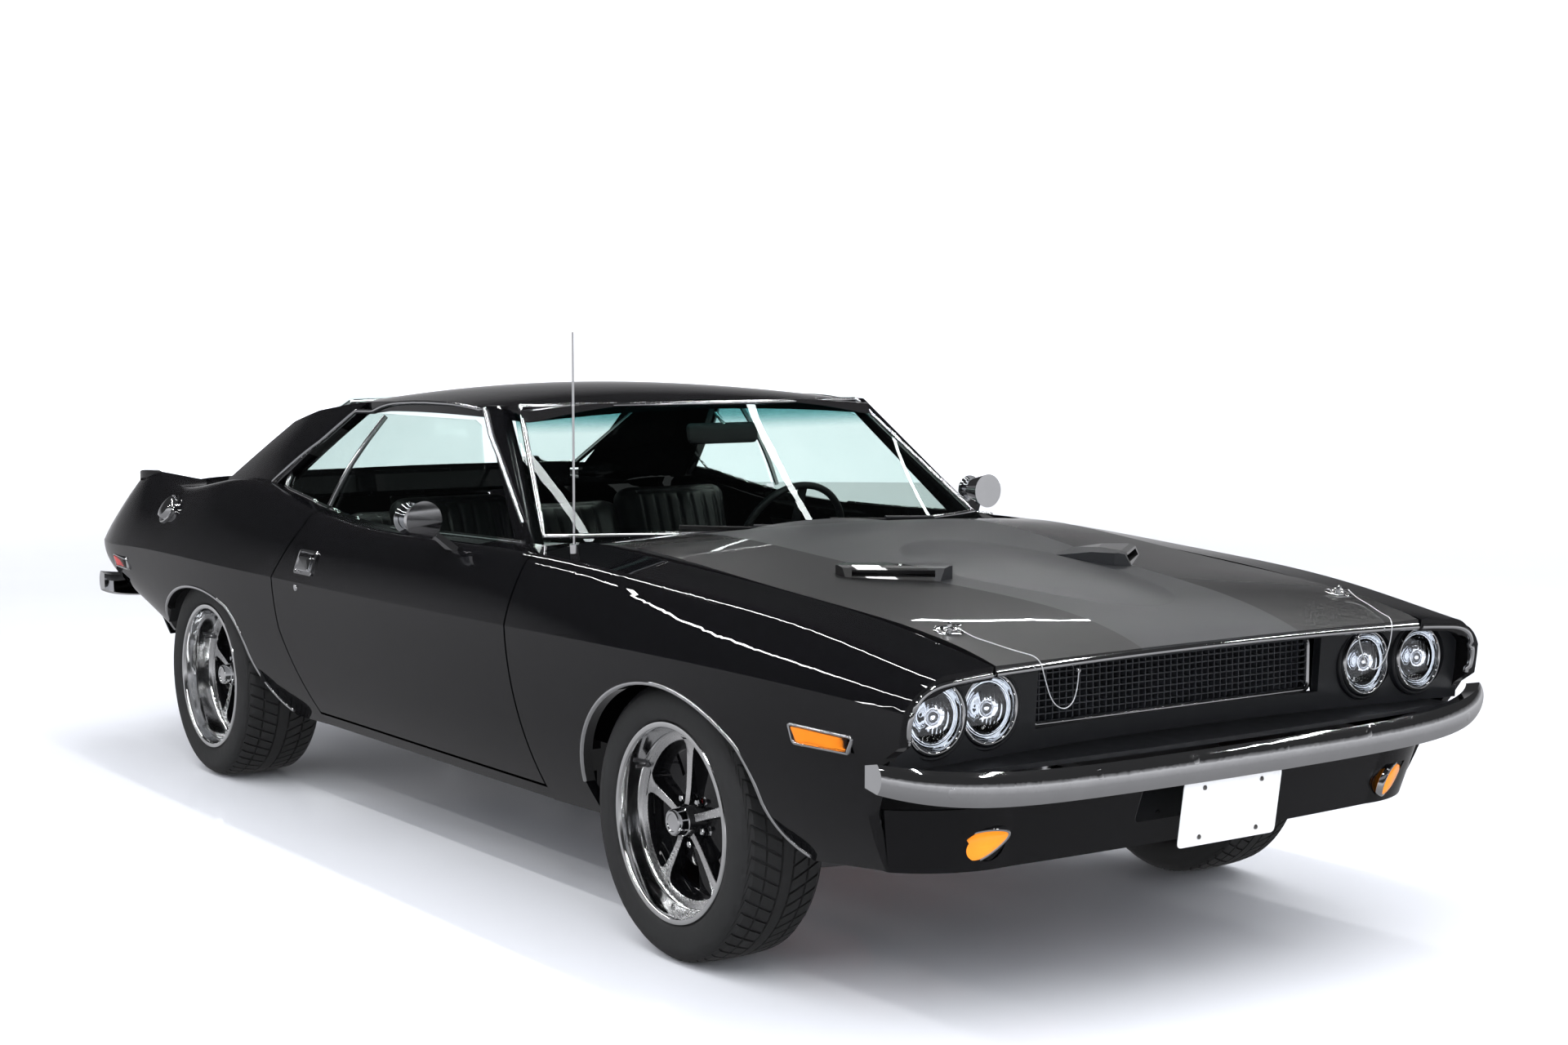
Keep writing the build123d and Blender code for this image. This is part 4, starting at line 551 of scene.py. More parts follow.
def wheel(end, sign):
    """A polished stepped rim with five thin machined spokes over black pockets with windows."""
    centre, place, width, dish = wheel_frame(end, sign)
    inward = (0, -sign, 0)
    shape = Shape()
    lip = [
        (0.2325, 0.013), (0.2358, 0.008), (0.2360, 0.003), (0.2345, 0.0007), (0.231, 0.0),
        (0.2235, 0.0006), (0.2215, 0.0025)
    ]
    step = [
        (0.2215, 0.0025), (0.2195, 0.008), (0.2165, dish * 0.5), (0.2140, dish - 0.013),
        (0.2115, dish - 0.006), (0.2085, dish - 0.003)
    ]
    ring = [
        (0.2085, dish - 0.003), (0.2065, dish - 0.0022), (0.1890, dish - 0.0022), (0.1872, dish - 0.0008)
    ]
    inner = [
        (0.1872, dish - 0.0008), (0.1850, dish + 0.006), (0.1835, dish + 0.020), (0.1835, dish + 0.034)
    ]
    back = [
        (0.1835, dish + 0.034), (0.200, dish + 0.040), (0.2070, dish + 0.060), (0.2090, width - 0.020),
        (0.2280, width - 0.006), (0.2350, width - 0.001), (0.2355, width - 0.010),
        (0.2150, width - 0.024), (0.2150, dish + 0.06), (0.2325, 0.013)
    ]
    shape.add(turned(lip, 120, centre, inward), POLISHED)
    shape.add(turned(step, 120, centre, inward), POLISHED)
    shape.add(turned(ring, 120, centre, inward), MACHINED)
    shape.add(turned(inner, 120, centre, inward), POCKET)
    shape.add(turned(back, 96, centre, inward), BARREL)
    # Pocket floor: a dished disc with one curved window in each pocket
    radii = [0.030, 0.046, 0.062, 0.080, 0.098, 0.112, 0.122, 0.134, 0.146, 0.158, 0.168, 0.176, 0.184]
    steps = 120
    open_half = math.radians(19)

    def floor_depth(radius):
        return dish + 0.012 + 0.012 * math.sin(min(1.0, max(0.0, (radius - 0.05) / 0.11)) * math.pi / 2)

    def is_open(i, k):
        pocket = 2 * math.pi / SPOKES
        turn = (2 * math.pi * (k + 0.5) / steps + pocket / 2) % pocket - pocket / 2
        return 5 <= i <= 9 and abs(abs(turn) - pocket / 2) < open_half

    for face in (0.0, 0.008):
        points, faces = [], []
        for radius in radii:
            points += [
                place(2 * math.pi * k / steps, radius, floor_depth(radius) + face) for k in range(steps)
            ]
        for i in range(len(radii) - 1):
            for k in range(steps):
                if not is_open(i, k):
                    n = (k + 1) % steps
                    faces.append([i * steps + k, i * steps + n, (i + 1) * steps + n, (i + 1) * steps + k])
        shape.add((points, faces), POCKET)
    walls = []
    for i in range(5, 10):
        for k in range(steps):
            if is_open(i, k):
                n = (k + 1) % steps
                edges = []
                if i == 5:
                    edges.append(((k, 5), (n, 5)))
                if i == 9:
                    edges.append(((k, 10), (n, 10)))
                if not is_open(i, (k - 1) % steps):
                    edges.append(((k, i), (k, i + 1)))
                if not is_open(i, n):
                    edges.append(((n, i), (n, i + 1)))
                for (ka, ia), (kb, ib) in edges:
                    a, b = radii[ia], radii[ib]
                    walls.append(
                        [
                            place(2 * math.pi * ka / steps, a, floor_depth(a)),
                            place(2 * math.pi * kb / steps, b, floor_depth(b)),
                            place(2 * math.pi * kb / steps, b, floor_depth(b) + 0.008),
                            place(2 * math.pi * ka / steps, a, floor_depth(a) + 0.008)
                        ]
                    )
    shape.add(
        (
            [p for wall in walls for p in wall],
            [[4 * i, 4 * i + 1, 4 * i + 2, 4 * i + 3] for i in range(len(walls))]
        ), POCKET
    )
    # Spokes: thin machined ridges that flare into the ring, with black flanks down to the pocket floor
    rows = (
        (0.028, 0.009, -0.016), (0.045, 0.009, -0.010), (0.075, 0.0090, -0.006), (0.110, 0.0100, -0.004),
        (0.145, 0.0115, -0.003), (0.165, 0.0135, -0.0024), (0.177, 0.0185, -0.0022),
        (0.186, 0.0290, -0.0022), (0.191, 0.0440, -0.0022)
    )
    for k in range(SPOKES):
        turn = math.pi / 2 + 2 * math.pi * k / SPOKES
        out, side = Vector((math.cos(turn), 0, math.sin(turn))), Vector(
            (-math.sin(turn), 0, math.cos(turn))
        )

        def spot(radius, sideways, depth):
            return centre + out * radius + side * sideways + Vector((0, -sign * depth, 0))

        tops, lefts, rights = [], [], []
        for radius, half, rise in rows:
            top = dish + rise
            tops.append(
                [
                    spot(radius, -half, top + 0.001), spot(radius, -half * 0.86, top),
                    spot(radius, half * 0.86, top), spot(radius, half, top + 0.001)
                ]
            )
            foot = half + 0.004
            lefts.append(
                [spot(radius, -half, top + 0.001), spot(radius, -foot, floor_depth(radius) + 0.004)]
            )
            rights.append(
                [spot(radius, half, top + 0.001), spot(radius, foot, floor_depth(radius) + 0.004)]
            )
        shape.add(strip(tops, closed_ring=False), MACHINED)
        shape.add(strip(lefts, closed_ring=False), POCKET)
        shape.add(strip(rights, closed_ring=False), POCKET)
        # Wheel nuts, one in each pocket
        angle = turn + math.pi / SPOKES
        nut = place(angle, 0.057, floor_depth(0.057) + 0.001)
        shape.add(
            turned(
                [(0.0, -0.022), (0.007, -0.021), (0.0095, -0.017), (0.0105, -0.001), (0.0145, 0.0)], 6,
                nut, inward
            ), CHROME
        )
    cone = [(0.050, dish + 0.012), (0.046, dish + 0.004), (0.040, dish - 0.010), (0.0345, dish - 0.024)]
    cap = [
        (0.0345, dish - 0.024), (0.0325, dish - 0.0255), (0.0315, dish - 0.030), (0.0315, dish - 0.046),
        (0.0300, dish - 0.0505), (0.0265, dish - 0.0525), (0.0215, dish - 0.0525),
        (0.0200, dish - 0.0505), (0.0120, dish - 0.0500), (0.0, dish - 0.0495)
    ]
    shape.add(turned(cone, 60, centre, inward), POCKET)
    shape.add(turned(cap, 60, centre, inward), CHROME)
    # Valve stem standing out of the step
    stem = place(math.radians(150), 0.205, dish - 0.003)
    shape.add(
        turned(
            [
                (0.006, 0.0), (0.0055, -0.006), (0.0032, -0.009), (0.0032, -0.026), (0.0042, -0.027),
                (0.0042, -0.035), (0.0, -0.036)
            ], 14, stem, inward
        ), BARREL
    )
    return shape


def tyre(end, sign):
    """A plain sidewall tyre with chevron blocks cut into its tread."""
    _, place, width, _ = wheel_frame(end, sign)
    inner = width + 0.013
    blocks, columns = 58, (0.0, 0.80, 0.83, 0.97)
    outer_wall = [
        (0.2335, 0.012), (0.2400, 0.0015), (0.2440, -0.0010), (0.2470, -0.0025), (0.2560, -0.0052),
        (0.2700, -0.0068), (0.2850, -0.0068), (0.2990, -0.0040), (0.3060, -0.0005), (0.3075, 0.0012),
        (0.3140, 0.0065)
    ]
    mirror = [(r, inner - 0.007 - d) for r, d in outer_wall[::-1]]
    shoulder, far_shoulder = 0.014, inner - 0.021
    across_tread = [
        0.0, 0.03, 0.10, 0.18, 0.195, 0.21, 0.30, 0.40, 0.415, 0.43, 0.50, 0.57, 0.585, 0.60, 0.70, 0.79,
        0.805, 0.82, 0.90, 0.97, 1.0
    ]
    channels = (0.195, 0.415, 0.585, 0.805)
    profile = [(r, d, None) for r, d in outer_wall]
    for t in across_tread:
        depth = shoulder + (far_shoulder - shoulder) * t
        crown = TYRE_RADIUS - 0.0055 * abs(2 * t - 1) ** 3 - (0.0035 if t in (0.0, 1.0) else 0.0)
        profile.append((crown, depth, t))
    profile += [(r, d, None) for r, d in mirror]
    rows = []
    for radius, depth, t in profile:
        row = []
        for k in range(blocks):
            for c, share in enumerate(columns):
                turn = 2 * math.pi * (k + share) / blocks
                r = radius
                if t is not None:
                    turn += 0.16 * abs(2 * t - 1) + 0.5 * (math.floor(t * 2.0) * math.pi / blocks)
                    cut = 0.0048 if (c >= 2 and not 0.41 < t < 0.59) else 0.0
                    if t in channels:
                        cut = 0.0060
                    r -= cut
                row.append(place(turn, r, depth))
        rows.append(row)
    shape = Shape()
    shape.add(strip(rows), RUBBER)
    return shape


for sign, side in SIDES:
    for end in AXLES:
        body = f"wheel_{end}_{side}"
        wheel(end, sign).make(f"rim_{end}_{side}", body, "wheel_metal", (f"wheel_{end}_{side}",), angle=28)
        tyre(end, sign).make(f"road_tyre_{end}_{side}", body, "tyre", (f"tyre_{end}_{side}",), angle=30)

# Red calipers over the front brake discs
CALIPER_TURNS = [math.radians(a) for a in range(38, 84, 5)]
for sign, side in SIDES:
    rows = []
    for k, turn in enumerate(CALIPER_TURNS):
        ease = 0.006 if k in (0, len(CALIPER_TURNS) - 1) else 0.0
        corners = [
            (0.108 + ease, 0.716), (0.108 + ease, 0.788), (0.116, 0.796 - ease),
            (0.160 - ease, 0.796 - ease), (0.168 - ease, 0.788), (0.168 - ease, 0.716)
        ]
        rows.append(
            [
                Vector((1.485 + r * math.cos(turn), sign * y, WHEEL_Z + r * math.sin(turn))) for r,
                y in corners
            ]
        )
    Shape().add(strip(rows, caps=True), CALIPER).make(
        f"caliper_{side}", f"knuckle_{side}", "cast", angle=30
    )

# Grille: a silver frame round a fine egg-crate, with a black sheet behind it as painted shade for the dark
# space beyond
GRILLE_LOW, GRILLE_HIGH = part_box("grille")
grille_y, grille_z = GRILLE_HIGH[1] - 0.006, (GRILLE_LOW[2] + 0.006, GRILLE_HIGH[2] - 0.006)
crate = Shape()
front_x, rear_x = GRILLE_HIGH[0] - 0.004, GRILLE_LOW[0]
COLUMNS, ROWS = 44, 8
for k in range(COLUMNS + 1):
    y = -grille_y + 2 * grille_y * k / COLUMNS
    crate.add(block((rear_x, y - 0.0013, grille_z[0]), (front_x, y + 0.0013, grille_z[1])), PLASTIC)
for k in range(ROWS + 1):
    z = grille_z[0] + (grille_z[1] - grille_z[0]) * k / ROWS
    crate.add(block((rear_x, -grille_y, z - 0.0013), (front_x - 0.001, grille_y, z + 0.0013)), PLASTIC)
# Painted shade: a flat black sheet across the grille's back, standing in for the shadowed space behind the
# egg-crate
crate.add(block((rear_x - 0.004, -grille_y, grille_z[0]), (rear_x, grille_y, grille_z[1])), BLADE_RUBBER_AND_SHADE)
frame_line = [
    Vector((GRILLE_HIGH[0] + 0.002, p.x, p.y))
    for p in rounded(
        [
            (-grille_y - 0.004, grille_z[0] - 0.004), (grille_y + 0.004, grille_z[0] - 0.004),
            (grille_y + 0.004, grille_z[1] + 0.004), (-grille_y - 0.004, grille_z[1] + 0.004)
        ], 0.022, 6
    )
]
crate.add(
    swept(
        frame_line, [Vector((1, 0, 0))] * len(frame_line), half_round(0.015, 0.011, 0.012), closed=True
    ), BRIGHT
)
crate.make("egg_crate_grille", "car_body", "grille_plastic", ("grille",), angle=40)

# Headlamps: bright ring, fluted lens, reflector bowl and bulb shield
LAMP_PLACES = [(y, 0.671) for y in (0.753, 0.589, -0.589, -0.753)]
lamps = Shape()
FORWARD = (1, 0, 0)
for y, z in LAMP_PLACES:
    face_x = from_front(("headlamps",), y, z)[0].x
    centre = Vector((face_x, y, z))
    ring = [
        (0.0700, -0.020), (0.0702, -0.004), (0.0716, -0.0010), (0.0745, 0.0), (0.0775, -0.0015),
        (0.0790, -0.006), (0.0815, -0.012), (0.0818, -0.040), (0.0790, -0.060)
    ]
    lamps.add(turned(ring, 72, centre, FORWARD), CHROME)
    bowl = [
        (0.0705, -0.010), (0.0640, -0.030), (0.0500, -0.048), (0.0300, -0.058), (0.0140, -0.060),
        (0.0, -0.060)
    ]
    lamps.add(turned(bowl, 48, centre, FORWARD), MIRROR)
    shield = [(0.016, -0.040), (0.018, -0.032), (0.013, -0.024), (0.0, -0.021)]
    lamps.add(turned(shield, 24, centre, FORWARD), CHROME)
    rows = []
    rings, turns = 18, 96
    for i in range(rings + 1):
        radius = 0.0702 * i / rings
        row = []
        for k in range(turns):
            a = 2 * math.pi * k / turns
            u, v = radius * math.cos(a), radius * math.sin(a)
            dome = 0.013 * (1 - (radius / 0.0702) ** 2) - 0.008
            flute = 0.0011 * abs(math.sin(u * math.pi / 0.0105)) * (
                1.0 if v > 0.018 or v < -0.018 else 0.45
            )
            row.append(centre + Vector((dome + flute - 0.0015, u, v)))
        rows.append(row)
    back = [[p - Vector((0.0045, 0, 0)) for p in row] for row in rows[::-1]]
    lamps.add(strip(rows[1:]), LENS)
    lamps.add(([rows[0][0], *rows[1]], [[0, 1 + k, 1 + (k + 1) % turns] for k in range(turns)]), LENS)
    lamps.add(
        (
            rows[-1] + back[0],
            [[k, (k + 1) % turns, turns + (k + 1) % turns, turns + k] for k in range(turns)]
        ), LENS
    )
    inner = [
        [
            p - Vector((0.0045, 0, 0))
            for p in turned(
                [(0.0702 * i / 6, 0.013 * (1 - (i / 6) ** 2) - 0.0095)], turns, centre, FORWARD
            )[0]
        ] for i in range(7)
    ]
    lamps.add(strip(inner), LENS)
lamps.make("headlamp_units", "car_body", "lamp_clear", ("headlamps",), angle=50)
# Dark buckets round the lamps
for number, (y, z) in enumerate(LAMP_PLACES):
    face_x = from_front(("headlamps",), y, z)[0].x
    bucket = [
        (0.0812, -0.004), (0.0835, 0.002), (0.0870, 0.003), (0.0905, 0.000), (0.0925, -0.010),
        (0.0930, -0.045)
    ]
    Shape().add(
        turned(bucket, 64, (face_x - 0.010, y, z), FORWARD), SATIN
    ).make(f"lamp_bucket_{number}", "car_body", "satin_paint")

# Parking lamps: an amber teardrop with a bright rim on each side of the valance, and a plug behind it
VALANCE = ("front_valance", "parking_lamps")
LAMP_Y, LAMP_Z, LAMP_TURN = 0.640, 0.396, math.radians(24)
BESIDE_LAMP = 0.075
teardrop = []
for k in range(48):
    a = 2 * math.pi * k / 48
    u, v = 0.064 * math.cos(a), 0.031 * math.sin(a) * (1 - 0.38 * math.cos(a))
    teardrop.append(
        Vector(
            (
                u * math.cos(LAMP_TURN) - v * math.sin(LAMP_TURN),
                u * math.sin(LAMP_TURN) + v * math.cos(LAMP_TURN)
            )
        )
    )
for sign, side in SIDES:
    facing = from_front(VALANCE, sign * (LAMP_Y + BESIDE_LAMP), LAMP_Z)[1]
    middle = from_front(VALANCE, sign * LAMP_Y, LAMP_Z)[0]
    along = Vector((0, 0, 1)).cross(facing).normalized()
    upward = facing.cross(along)

    def on_valance(p, lift, middle=middle, facing=facing, along=along, upward=upward):
        return middle + along * p.x + upward * p.y + facing * lift

    lamp = Shape()
    lens = [
        (1.0, -0.010), (1.0, 0.002), (0.93, 0.006), (0.75, 0.0105), (0.5, 0.0135), (0.25, 0.0148),
        (0.08, 0.0150)
    ]
    lamp.add(layered(teardrop, on_valance, lens), PARKING)
    rim = [on_valance(p, 0.001) for p in teardrop]
    lamp.add(swept(rim, [facing] * len(rim), half_round(0.007, 0.005, 0.010), closed=True), CHROME)
    lamp.make(f"parking_lamp_{side}", "car_body", "lamp_amber", ("parking_lamps",), angle=40)
    rows = []
    for depth in (-0.030, -0.0015):
        ring = []
        for k in range(40):
            a = 2 * math.pi * k / 40
            y, z = LAMP_Y + 0.062 * math.cos(a), LAMP_Z + 0.001 + 0.044 * math.sin(a)
            ring.append(from_front(VALANCE, sign * y, z)[0] + Vector((depth, 0, 0)))
        rows.append(ring)
    Shape().add(strip(rows, caps=True), PAINT).make(f"parking_plug_{side}", "car_body", "body_paint")


# Side markers: a lens in a bright frame with slanted ends, on each fender and quarter
MARKERS = {
    "front": ([(2.012, 0.638), (2.028, 0.599), (2.196, 0.599), (2.211, 0.634)], AMBER, "lamp_amber"),
    "rear": ([(-2.132, 0.665), (-2.126, 0.625), (-1.968, 0.625), (-1.972, 0.662)], RED, "lamp_red"),
}
for end, (corners, lens, slot) in MARKERS.items():
    for sign, side in SIDES:
        carriers = (f"fender_{side}" if end == "front" else f"quarter_{side}", f"side_markers_{end}")
        outline = rounded(corners, 0.007, 4)

        def on_side(p, lift, carriers=carriers, sign=sign):
            point, way = from_side(carriers, sign, p.x, p.y)
            return point + Vector((0, sign, 0)) * lift

        marker = Shape()
        marker.add(
            layered(outline, on_side, [(0.93, -0.012), (0.93, 0.0015), (0.86, 0.0035), (0.5, 0.0045)]),
            lens
        )
        marker.add(layered(outline, on_side, [(0.9, -0.010), (0.9, -0.0035)]), MIRROR)
        rim = [on_side(p, -0.001) for p in outline]
        marker.add(
            swept(rim, [Vector((0, sign, 0))] * len(rim), half_round(0.008, 0.0055, 0.008), closed=True),
            BRIGHT
        )
        marker.make(f"side_marker_{end}_{side}", "car_body", slot, (f"side_markers_{end}",), angle=40)

# Tail lamps: ribbed red lenses in bright frames
TAIL_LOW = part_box("tail_lamps")[0]
for sign, side in SIDES:
    y0, y1, z0, z1 = 0.256, 0.684, 0.696, 0.804
    tail_x = TAIL_LOW[0]
    outline = rounded([(y0, z0), (y1, z0), (y1, z1), (y0, z1)], 0.012, 4)
    lamp = Shape()
    rows = []
    for i in range(29):
        z = z0 + 0.004 + (z1 - z0 - 0.008) * i / 28
        rib = 0.003 * abs(math.sin(math.pi * i / 4))
        rows.append(
            [
                Vector(
                    (
                        tail_x + 0.006 - rib - 0.004 * math.sin(math.pi * k / 40),
                        sign * (y0 + 0.004 + (y1 - y0 - 0.008) * k / 40), z
                    )
                ) for k in range(41)
            ]
        )
    back = [[Vector((tail_x + 0.020, p.y, p.z)) for p in row] for row in rows]
    lamp.add(strip(rows, closed_ring=False), RED)
    lamp.add(strip(back, closed_ring=False), MIRROR)
    rim = [Vector((tail_x + 0.008, sign * p.x, p.y)) for p in outline]
    lamp.add(
        swept(rim, [Vector((-1, 0, 0))] * len(rim), half_round(0.012, 0.007, 0.020), closed=True), CHROME
    )
    for share in (0.335, 0.665):
        y = y0 + (y1 - y0) * share
        lamp.add(
            block((tail_x + 0.001, sign * y - 0.003, z0), (tail_x + 0.014, sign * y + 0.003, z1), 0.001),
            CHROME
        )
    lamp.make(f"tail_lamp_{side}", "car_body", "lamp_red", ("tail_lamps",), angle=30)


# Bright trims that follow the CAD surfaces
def trim(name, body, points, width, height, material=BRIGHT, slot="chrome", closed=False, sink=0.003):
    """A half-round strip along (point, outward way) pairs."""
    path, ways = [p for p, _ in points], [w for _, w in points]
    return Shape().add(
        swept(path, ways, half_round(width, height, sink), closed), material
    ).make(name, body, slot, angle=50)


ARCHES = {
    "front": (1.485, [(-430, 25), (20, 327), (315, 229), (350, 166), (359, 107), (388, 44), (457, -5)]),
    "rear": (-1.309, [(-480, 96), (31, 294), (265, 257), (322, 207), (349, 135), (384, 34), (508, -58)]),
}
ARCH_EDGE = 0.0045
for end, (axle_x, table) in ARCHES.items():
    flat = [(axle_x + a / 1000, WHEEL_Z + h / 1000) for a, h in table]
    line = []
    for start, count in ((0, 30), (2, 10), (4, 10)):
        line += arc_through(*flat[start:start + 3], count)[0 if start == 0 else 1:]
    for sign, side in SIDES:
        panel = (f"fender_{side}" if end == "front" else f"quarter_{side}",)
        points = []
        for i, (x, z) in enumerate(line):
            x0, z0 = line[max(i - 1, 0)]
            x1, z1 = line[min(i + 1, len(line) - 1)]
            long = math.hypot(x1 - x0, z1 - z0)
            out = (-(z1 - z0) / long, (x1 - x0) / long)
            point, way = from_side(panel, sign, x + out[0] * ARCH_EDGE, z + out[1] * ARCH_EDGE)
            points.append((point, Vector((0, sign, 0))))
        points = [p for p in points if abs(p[0].y) > 0.78]
        trim(f"arch_trim_{end}_{side}", "car_body", points, 0.010, 0.0035)


def screen_point(base, top, u, t):
    """A point of a curved glass, u across and t up. Rows: z, middle x, end x, half width."""
    ends = []
    for z, middle_x, end_x, half in (base, top):
        sag = abs(end_x - middle_x)
        radius = (half**2 + sag**2) / (2 * sag)
        y = half * u
        drop = radius - math.sqrt(radius**2 - y**2)
        ends.append(Vector((middle_x + math.copysign(drop, end_x - middle_x), y, z)))
    return ends[0].lerp(ends[1], t)


def screen_trim(name, base, top, edge, width, height, low, high, outward):
    """A bright surround round a curved glass."""
    ring = [(-edge + 2 * edge * k / 24, low) for k in range(25)]
    ring += [(edge, low + (high - low) * k / 12) for k in range(1, 12)]
    ring += [(edge - 2 * edge * k / 24, high) for k in range(25)]
    ring += [(-edge, high - (high - low) * k / 12) for k in range(1, 12)]
    points = []
    for u, t in ring:
        here = screen_point(base, top, u, t)
        du = screen_point(base, top, min(u + 0.01, 1), t) - screen_point(base, top, max(u - 0.01, -1), t)
        dt = screen_point(base, top, u, 1) - screen_point(base, top, u, 0)
        way = du.cross(dt).normalized()
        if way.x * outward < 0:
            way = -way
        points.append((here, way))
    path, ways = [p for p, _ in points], [w for _, w in points]
    shape = Shape().add(swept(path, ways, half_round(width, height, 0.008), True), BRIGHT)
    return shape.make(name, "car_body", "chrome", angle=50)


SHIELD = ((0.905, 0.838, 0.640, 0.762), (1.262, 0.300, 0.226, 0.596))
BACKLIGHT = ((0.958, -1.622, -1.572, 0.668), (1.246, -0.966, -0.856, 0.590))
screen_trim("windshield_surround", *SHIELD, 0.972, 0.014, 0.006, 0.045, 0.965, 1)
screen_trim("rear_glass_surround", *BACKLIGHT, 0.955, 0.018, 0.006, 0.035, 0.955, -1)

# Drip rail and side window surround: up the pillar, along the roof edge and down the sail
RAIL = [
    (0.560, 0.965), (0.420, 1.062), (0.300, 1.146), (0.190, 1.215), (0.127, 1.236), (-0.026, 1.248),
    (-0.264, 1.247), (-0.478, 1.231), (-0.638, 1.183), (-0.807, 1.099), (-0.960, 1.003), (-1.000, 0.975)
]
for sign, side in SIDES:
    names = ("roof_panel", "front_pillars", f"quarter_{side}")
    points = []
    for p in through([(x, 0, z) for x, z in RAIL], 6):
        near = surface(*names).find_nearest(Vector((p.x, sign * (0.70 + max(0.0, 1.2 - p.z) * 0.36), p.z)))
        points.append((near[0], Vector((0, sign * 0.9, 0.44))))
    trim(f"drip_rail_{side}", "car_body", points, 0.013, 0.010, sink=0.004)

# Belt mouldings, on the doors and the quarters
for sign, side in SIDES:
    for name, body, carrier, start, end in (
        (f"door_belt_{side}", f"door_{side}", f"door_{side}", 0.640, -0.536),
        (f"quarter_belt_{side}", "car_body", f"quarter_{side}", -0.556, -0.985),
    ):
        points = []
        for k in range(25):
            x = start + (end - start) * k / 24
            best = None
            for step in range(24):
                y = sign * (0.760 + 0.006 * step)
                found = surface(carrier).ray_cast(Vector((x, y, 1.02)), Vector((0, 0, -1)))
                if found[0] is not None and found[0].z > 0.85:
                    best = found[0]
                    break
            if best is not None:
                points.append((best + Vector((0, sign * 0.008, 0)), Vector((0, sign * 0.35, 0.94))))
        if len(points) > 2:
            trim(name, body, points, 0.012, 0.005)
    # Divider at the rear of the door glass
    top, foot = Vector((-0.472, sign * 0.652, 1.202)), Vector((-0.510, sign * 0.822, 0.936))
    points = []
    for k in range(13):
        t = k / 12
        p = top.lerp(foot, t) + Vector((0, sign * 0.014 * math.sin(math.pi * t), 0))
        points.append((p, Vector((0, sign * 0.85, 0.5))))
    trim(f"glass_divider_{side}", f"door_{side}", points, 0.010, 0.006, sink=0.008)

# Nose: a strip on the hood's lip, carried on by the fenders and round the outer lamps
lip = []
for k in range(41):
    y = -0.655 + 1.310 * k / 40
    lip.append((Vector((2.362, y, 0.7735 - 0.010 * (abs(y) / 0.66) ** 2)), Vector((0.92, 0, 0.38))))
trim("nose_strip_hood", "hood", lip, 0.015, 0.005, CHROME, sink=0.004)
for sign, side in SIDES:
    line = through(
        [
            (2.360, sign * 0.667, 0.762), (2.360, sign * 0.740, 0.757), (2.358, sign * 0.806, 0.750),
            (2.354, sign * 0.846, 0.732), (2.350, sign * 0.866, 0.700), (2.347, sign * 0.872, 0.668),
            (2.338, sign * 0.866, 0.634)
        ], 6
    )
    points = []
    for p in line:
        near = surface(f"fender_{side}").find_nearest(p)
        out = Vector((0.95, sign * 0.15, 0.2))
        points.append((near[0], out))
    trim(f"nose_moulding_{side}", "car_body", points, 0.013, 0.006, CHROME, sink=0.004)

# Door handles, locks, bumper bolts, plate and hood pins
def button(centre, axis, radius, height, count=28):
    profile = [
        (radius, -0.004), (radius, height * 0.45), (radius * 0.93, height * 0.8), (radius * 0.7, height),
        (0.0, height * 1.12)
    ]
    return turned(profile, count, centre, axis)


for sign, side in SIDES:
    door = (f"door_{side}",)
    handle = Shape()

    def on_door(p, lift, door=door, sign=sign):
        point, way = from_side(door, sign, -0.428 + p.x, 0.778 + p.y)
        base = from_side(door, sign, -0.428 + math.copysign(0.075, p.x), 0.778 + p.y)[0]
        return Vector((point.x, base.y + sign * lift, point.z))

    outline = rounded([(-0.062, -0.036), (0.062, -0.036), (0.062, 0.036), (-0.062, 0.036)], 0.012, 5)
    handle.add(
        layered(
            outline, on_door,
            [(1.0, -0.002), (1.0, 0.0055), (0.96, 0.0075), (0.80, 0.0075), (0.78, 0.0050), (0.5, 0.0050)]
        ), CHROME
    )
    flap = rounded([(-0.045, -0.022), (0.045, -0.022), (0.045, 0.018), (-0.045, 0.018)], 0.006, 4)
    handle.add(layered(flap, on_door, [(1.0, 0.004), (1.0, 0.0120), (0.93, 0.0145), (0.5, 0.0150)]), CHROME)
    handle.make(f"door_handle_{side}", f"door_{side}", "chrome", angle=35)
    point, way = from_side(door, sign, -0.470, 0.700)
    Shape().add(button(point, way, 0.0105, 0.004), CHROME).make(
        f"door_lock_{side}", f"door_{side}", "chrome"
    )

bolts = Shape()
for y in (0.80, 0.42, 0.14):
    for sign in (1, -1):
        point, way = from_front(("front_bumper",), sign * y, 0.538)
        bolts.add(button(point - way * 0.0032, way, 0.0115, 0.0035), CHROME)
bolts.make("front_bumper_bolts", "car_body", "chrome")
bolts = Shape()
for y in (0.72, 0.28):
    for sign in (1, -1):
        point, way = hit(("rear_bumper",), (-3.0, sign * y, 0.528), (1, 0, 0))
        bolts.add(button(point - way * 0.0032, way, 0.0115, 0.0035), CHROME)
bolts.make("rear_bumper_bolts", "car_body", "chrome")

# A blank front plate on two straps, hanging under the middle of the bumper
plate_out = rounded([(-0.152, -0.076), (0.152, -0.076), (0.152, 0.076), (-0.152, 0.076)], 0.014, 5)
PLATE_TILT = 0.16


def on_plate(p, lift):
    return Vector((2.404 + lift - PLATE_TILT * (0.076 - p.y) * 0.9, p.x, 0.412 + p.y))


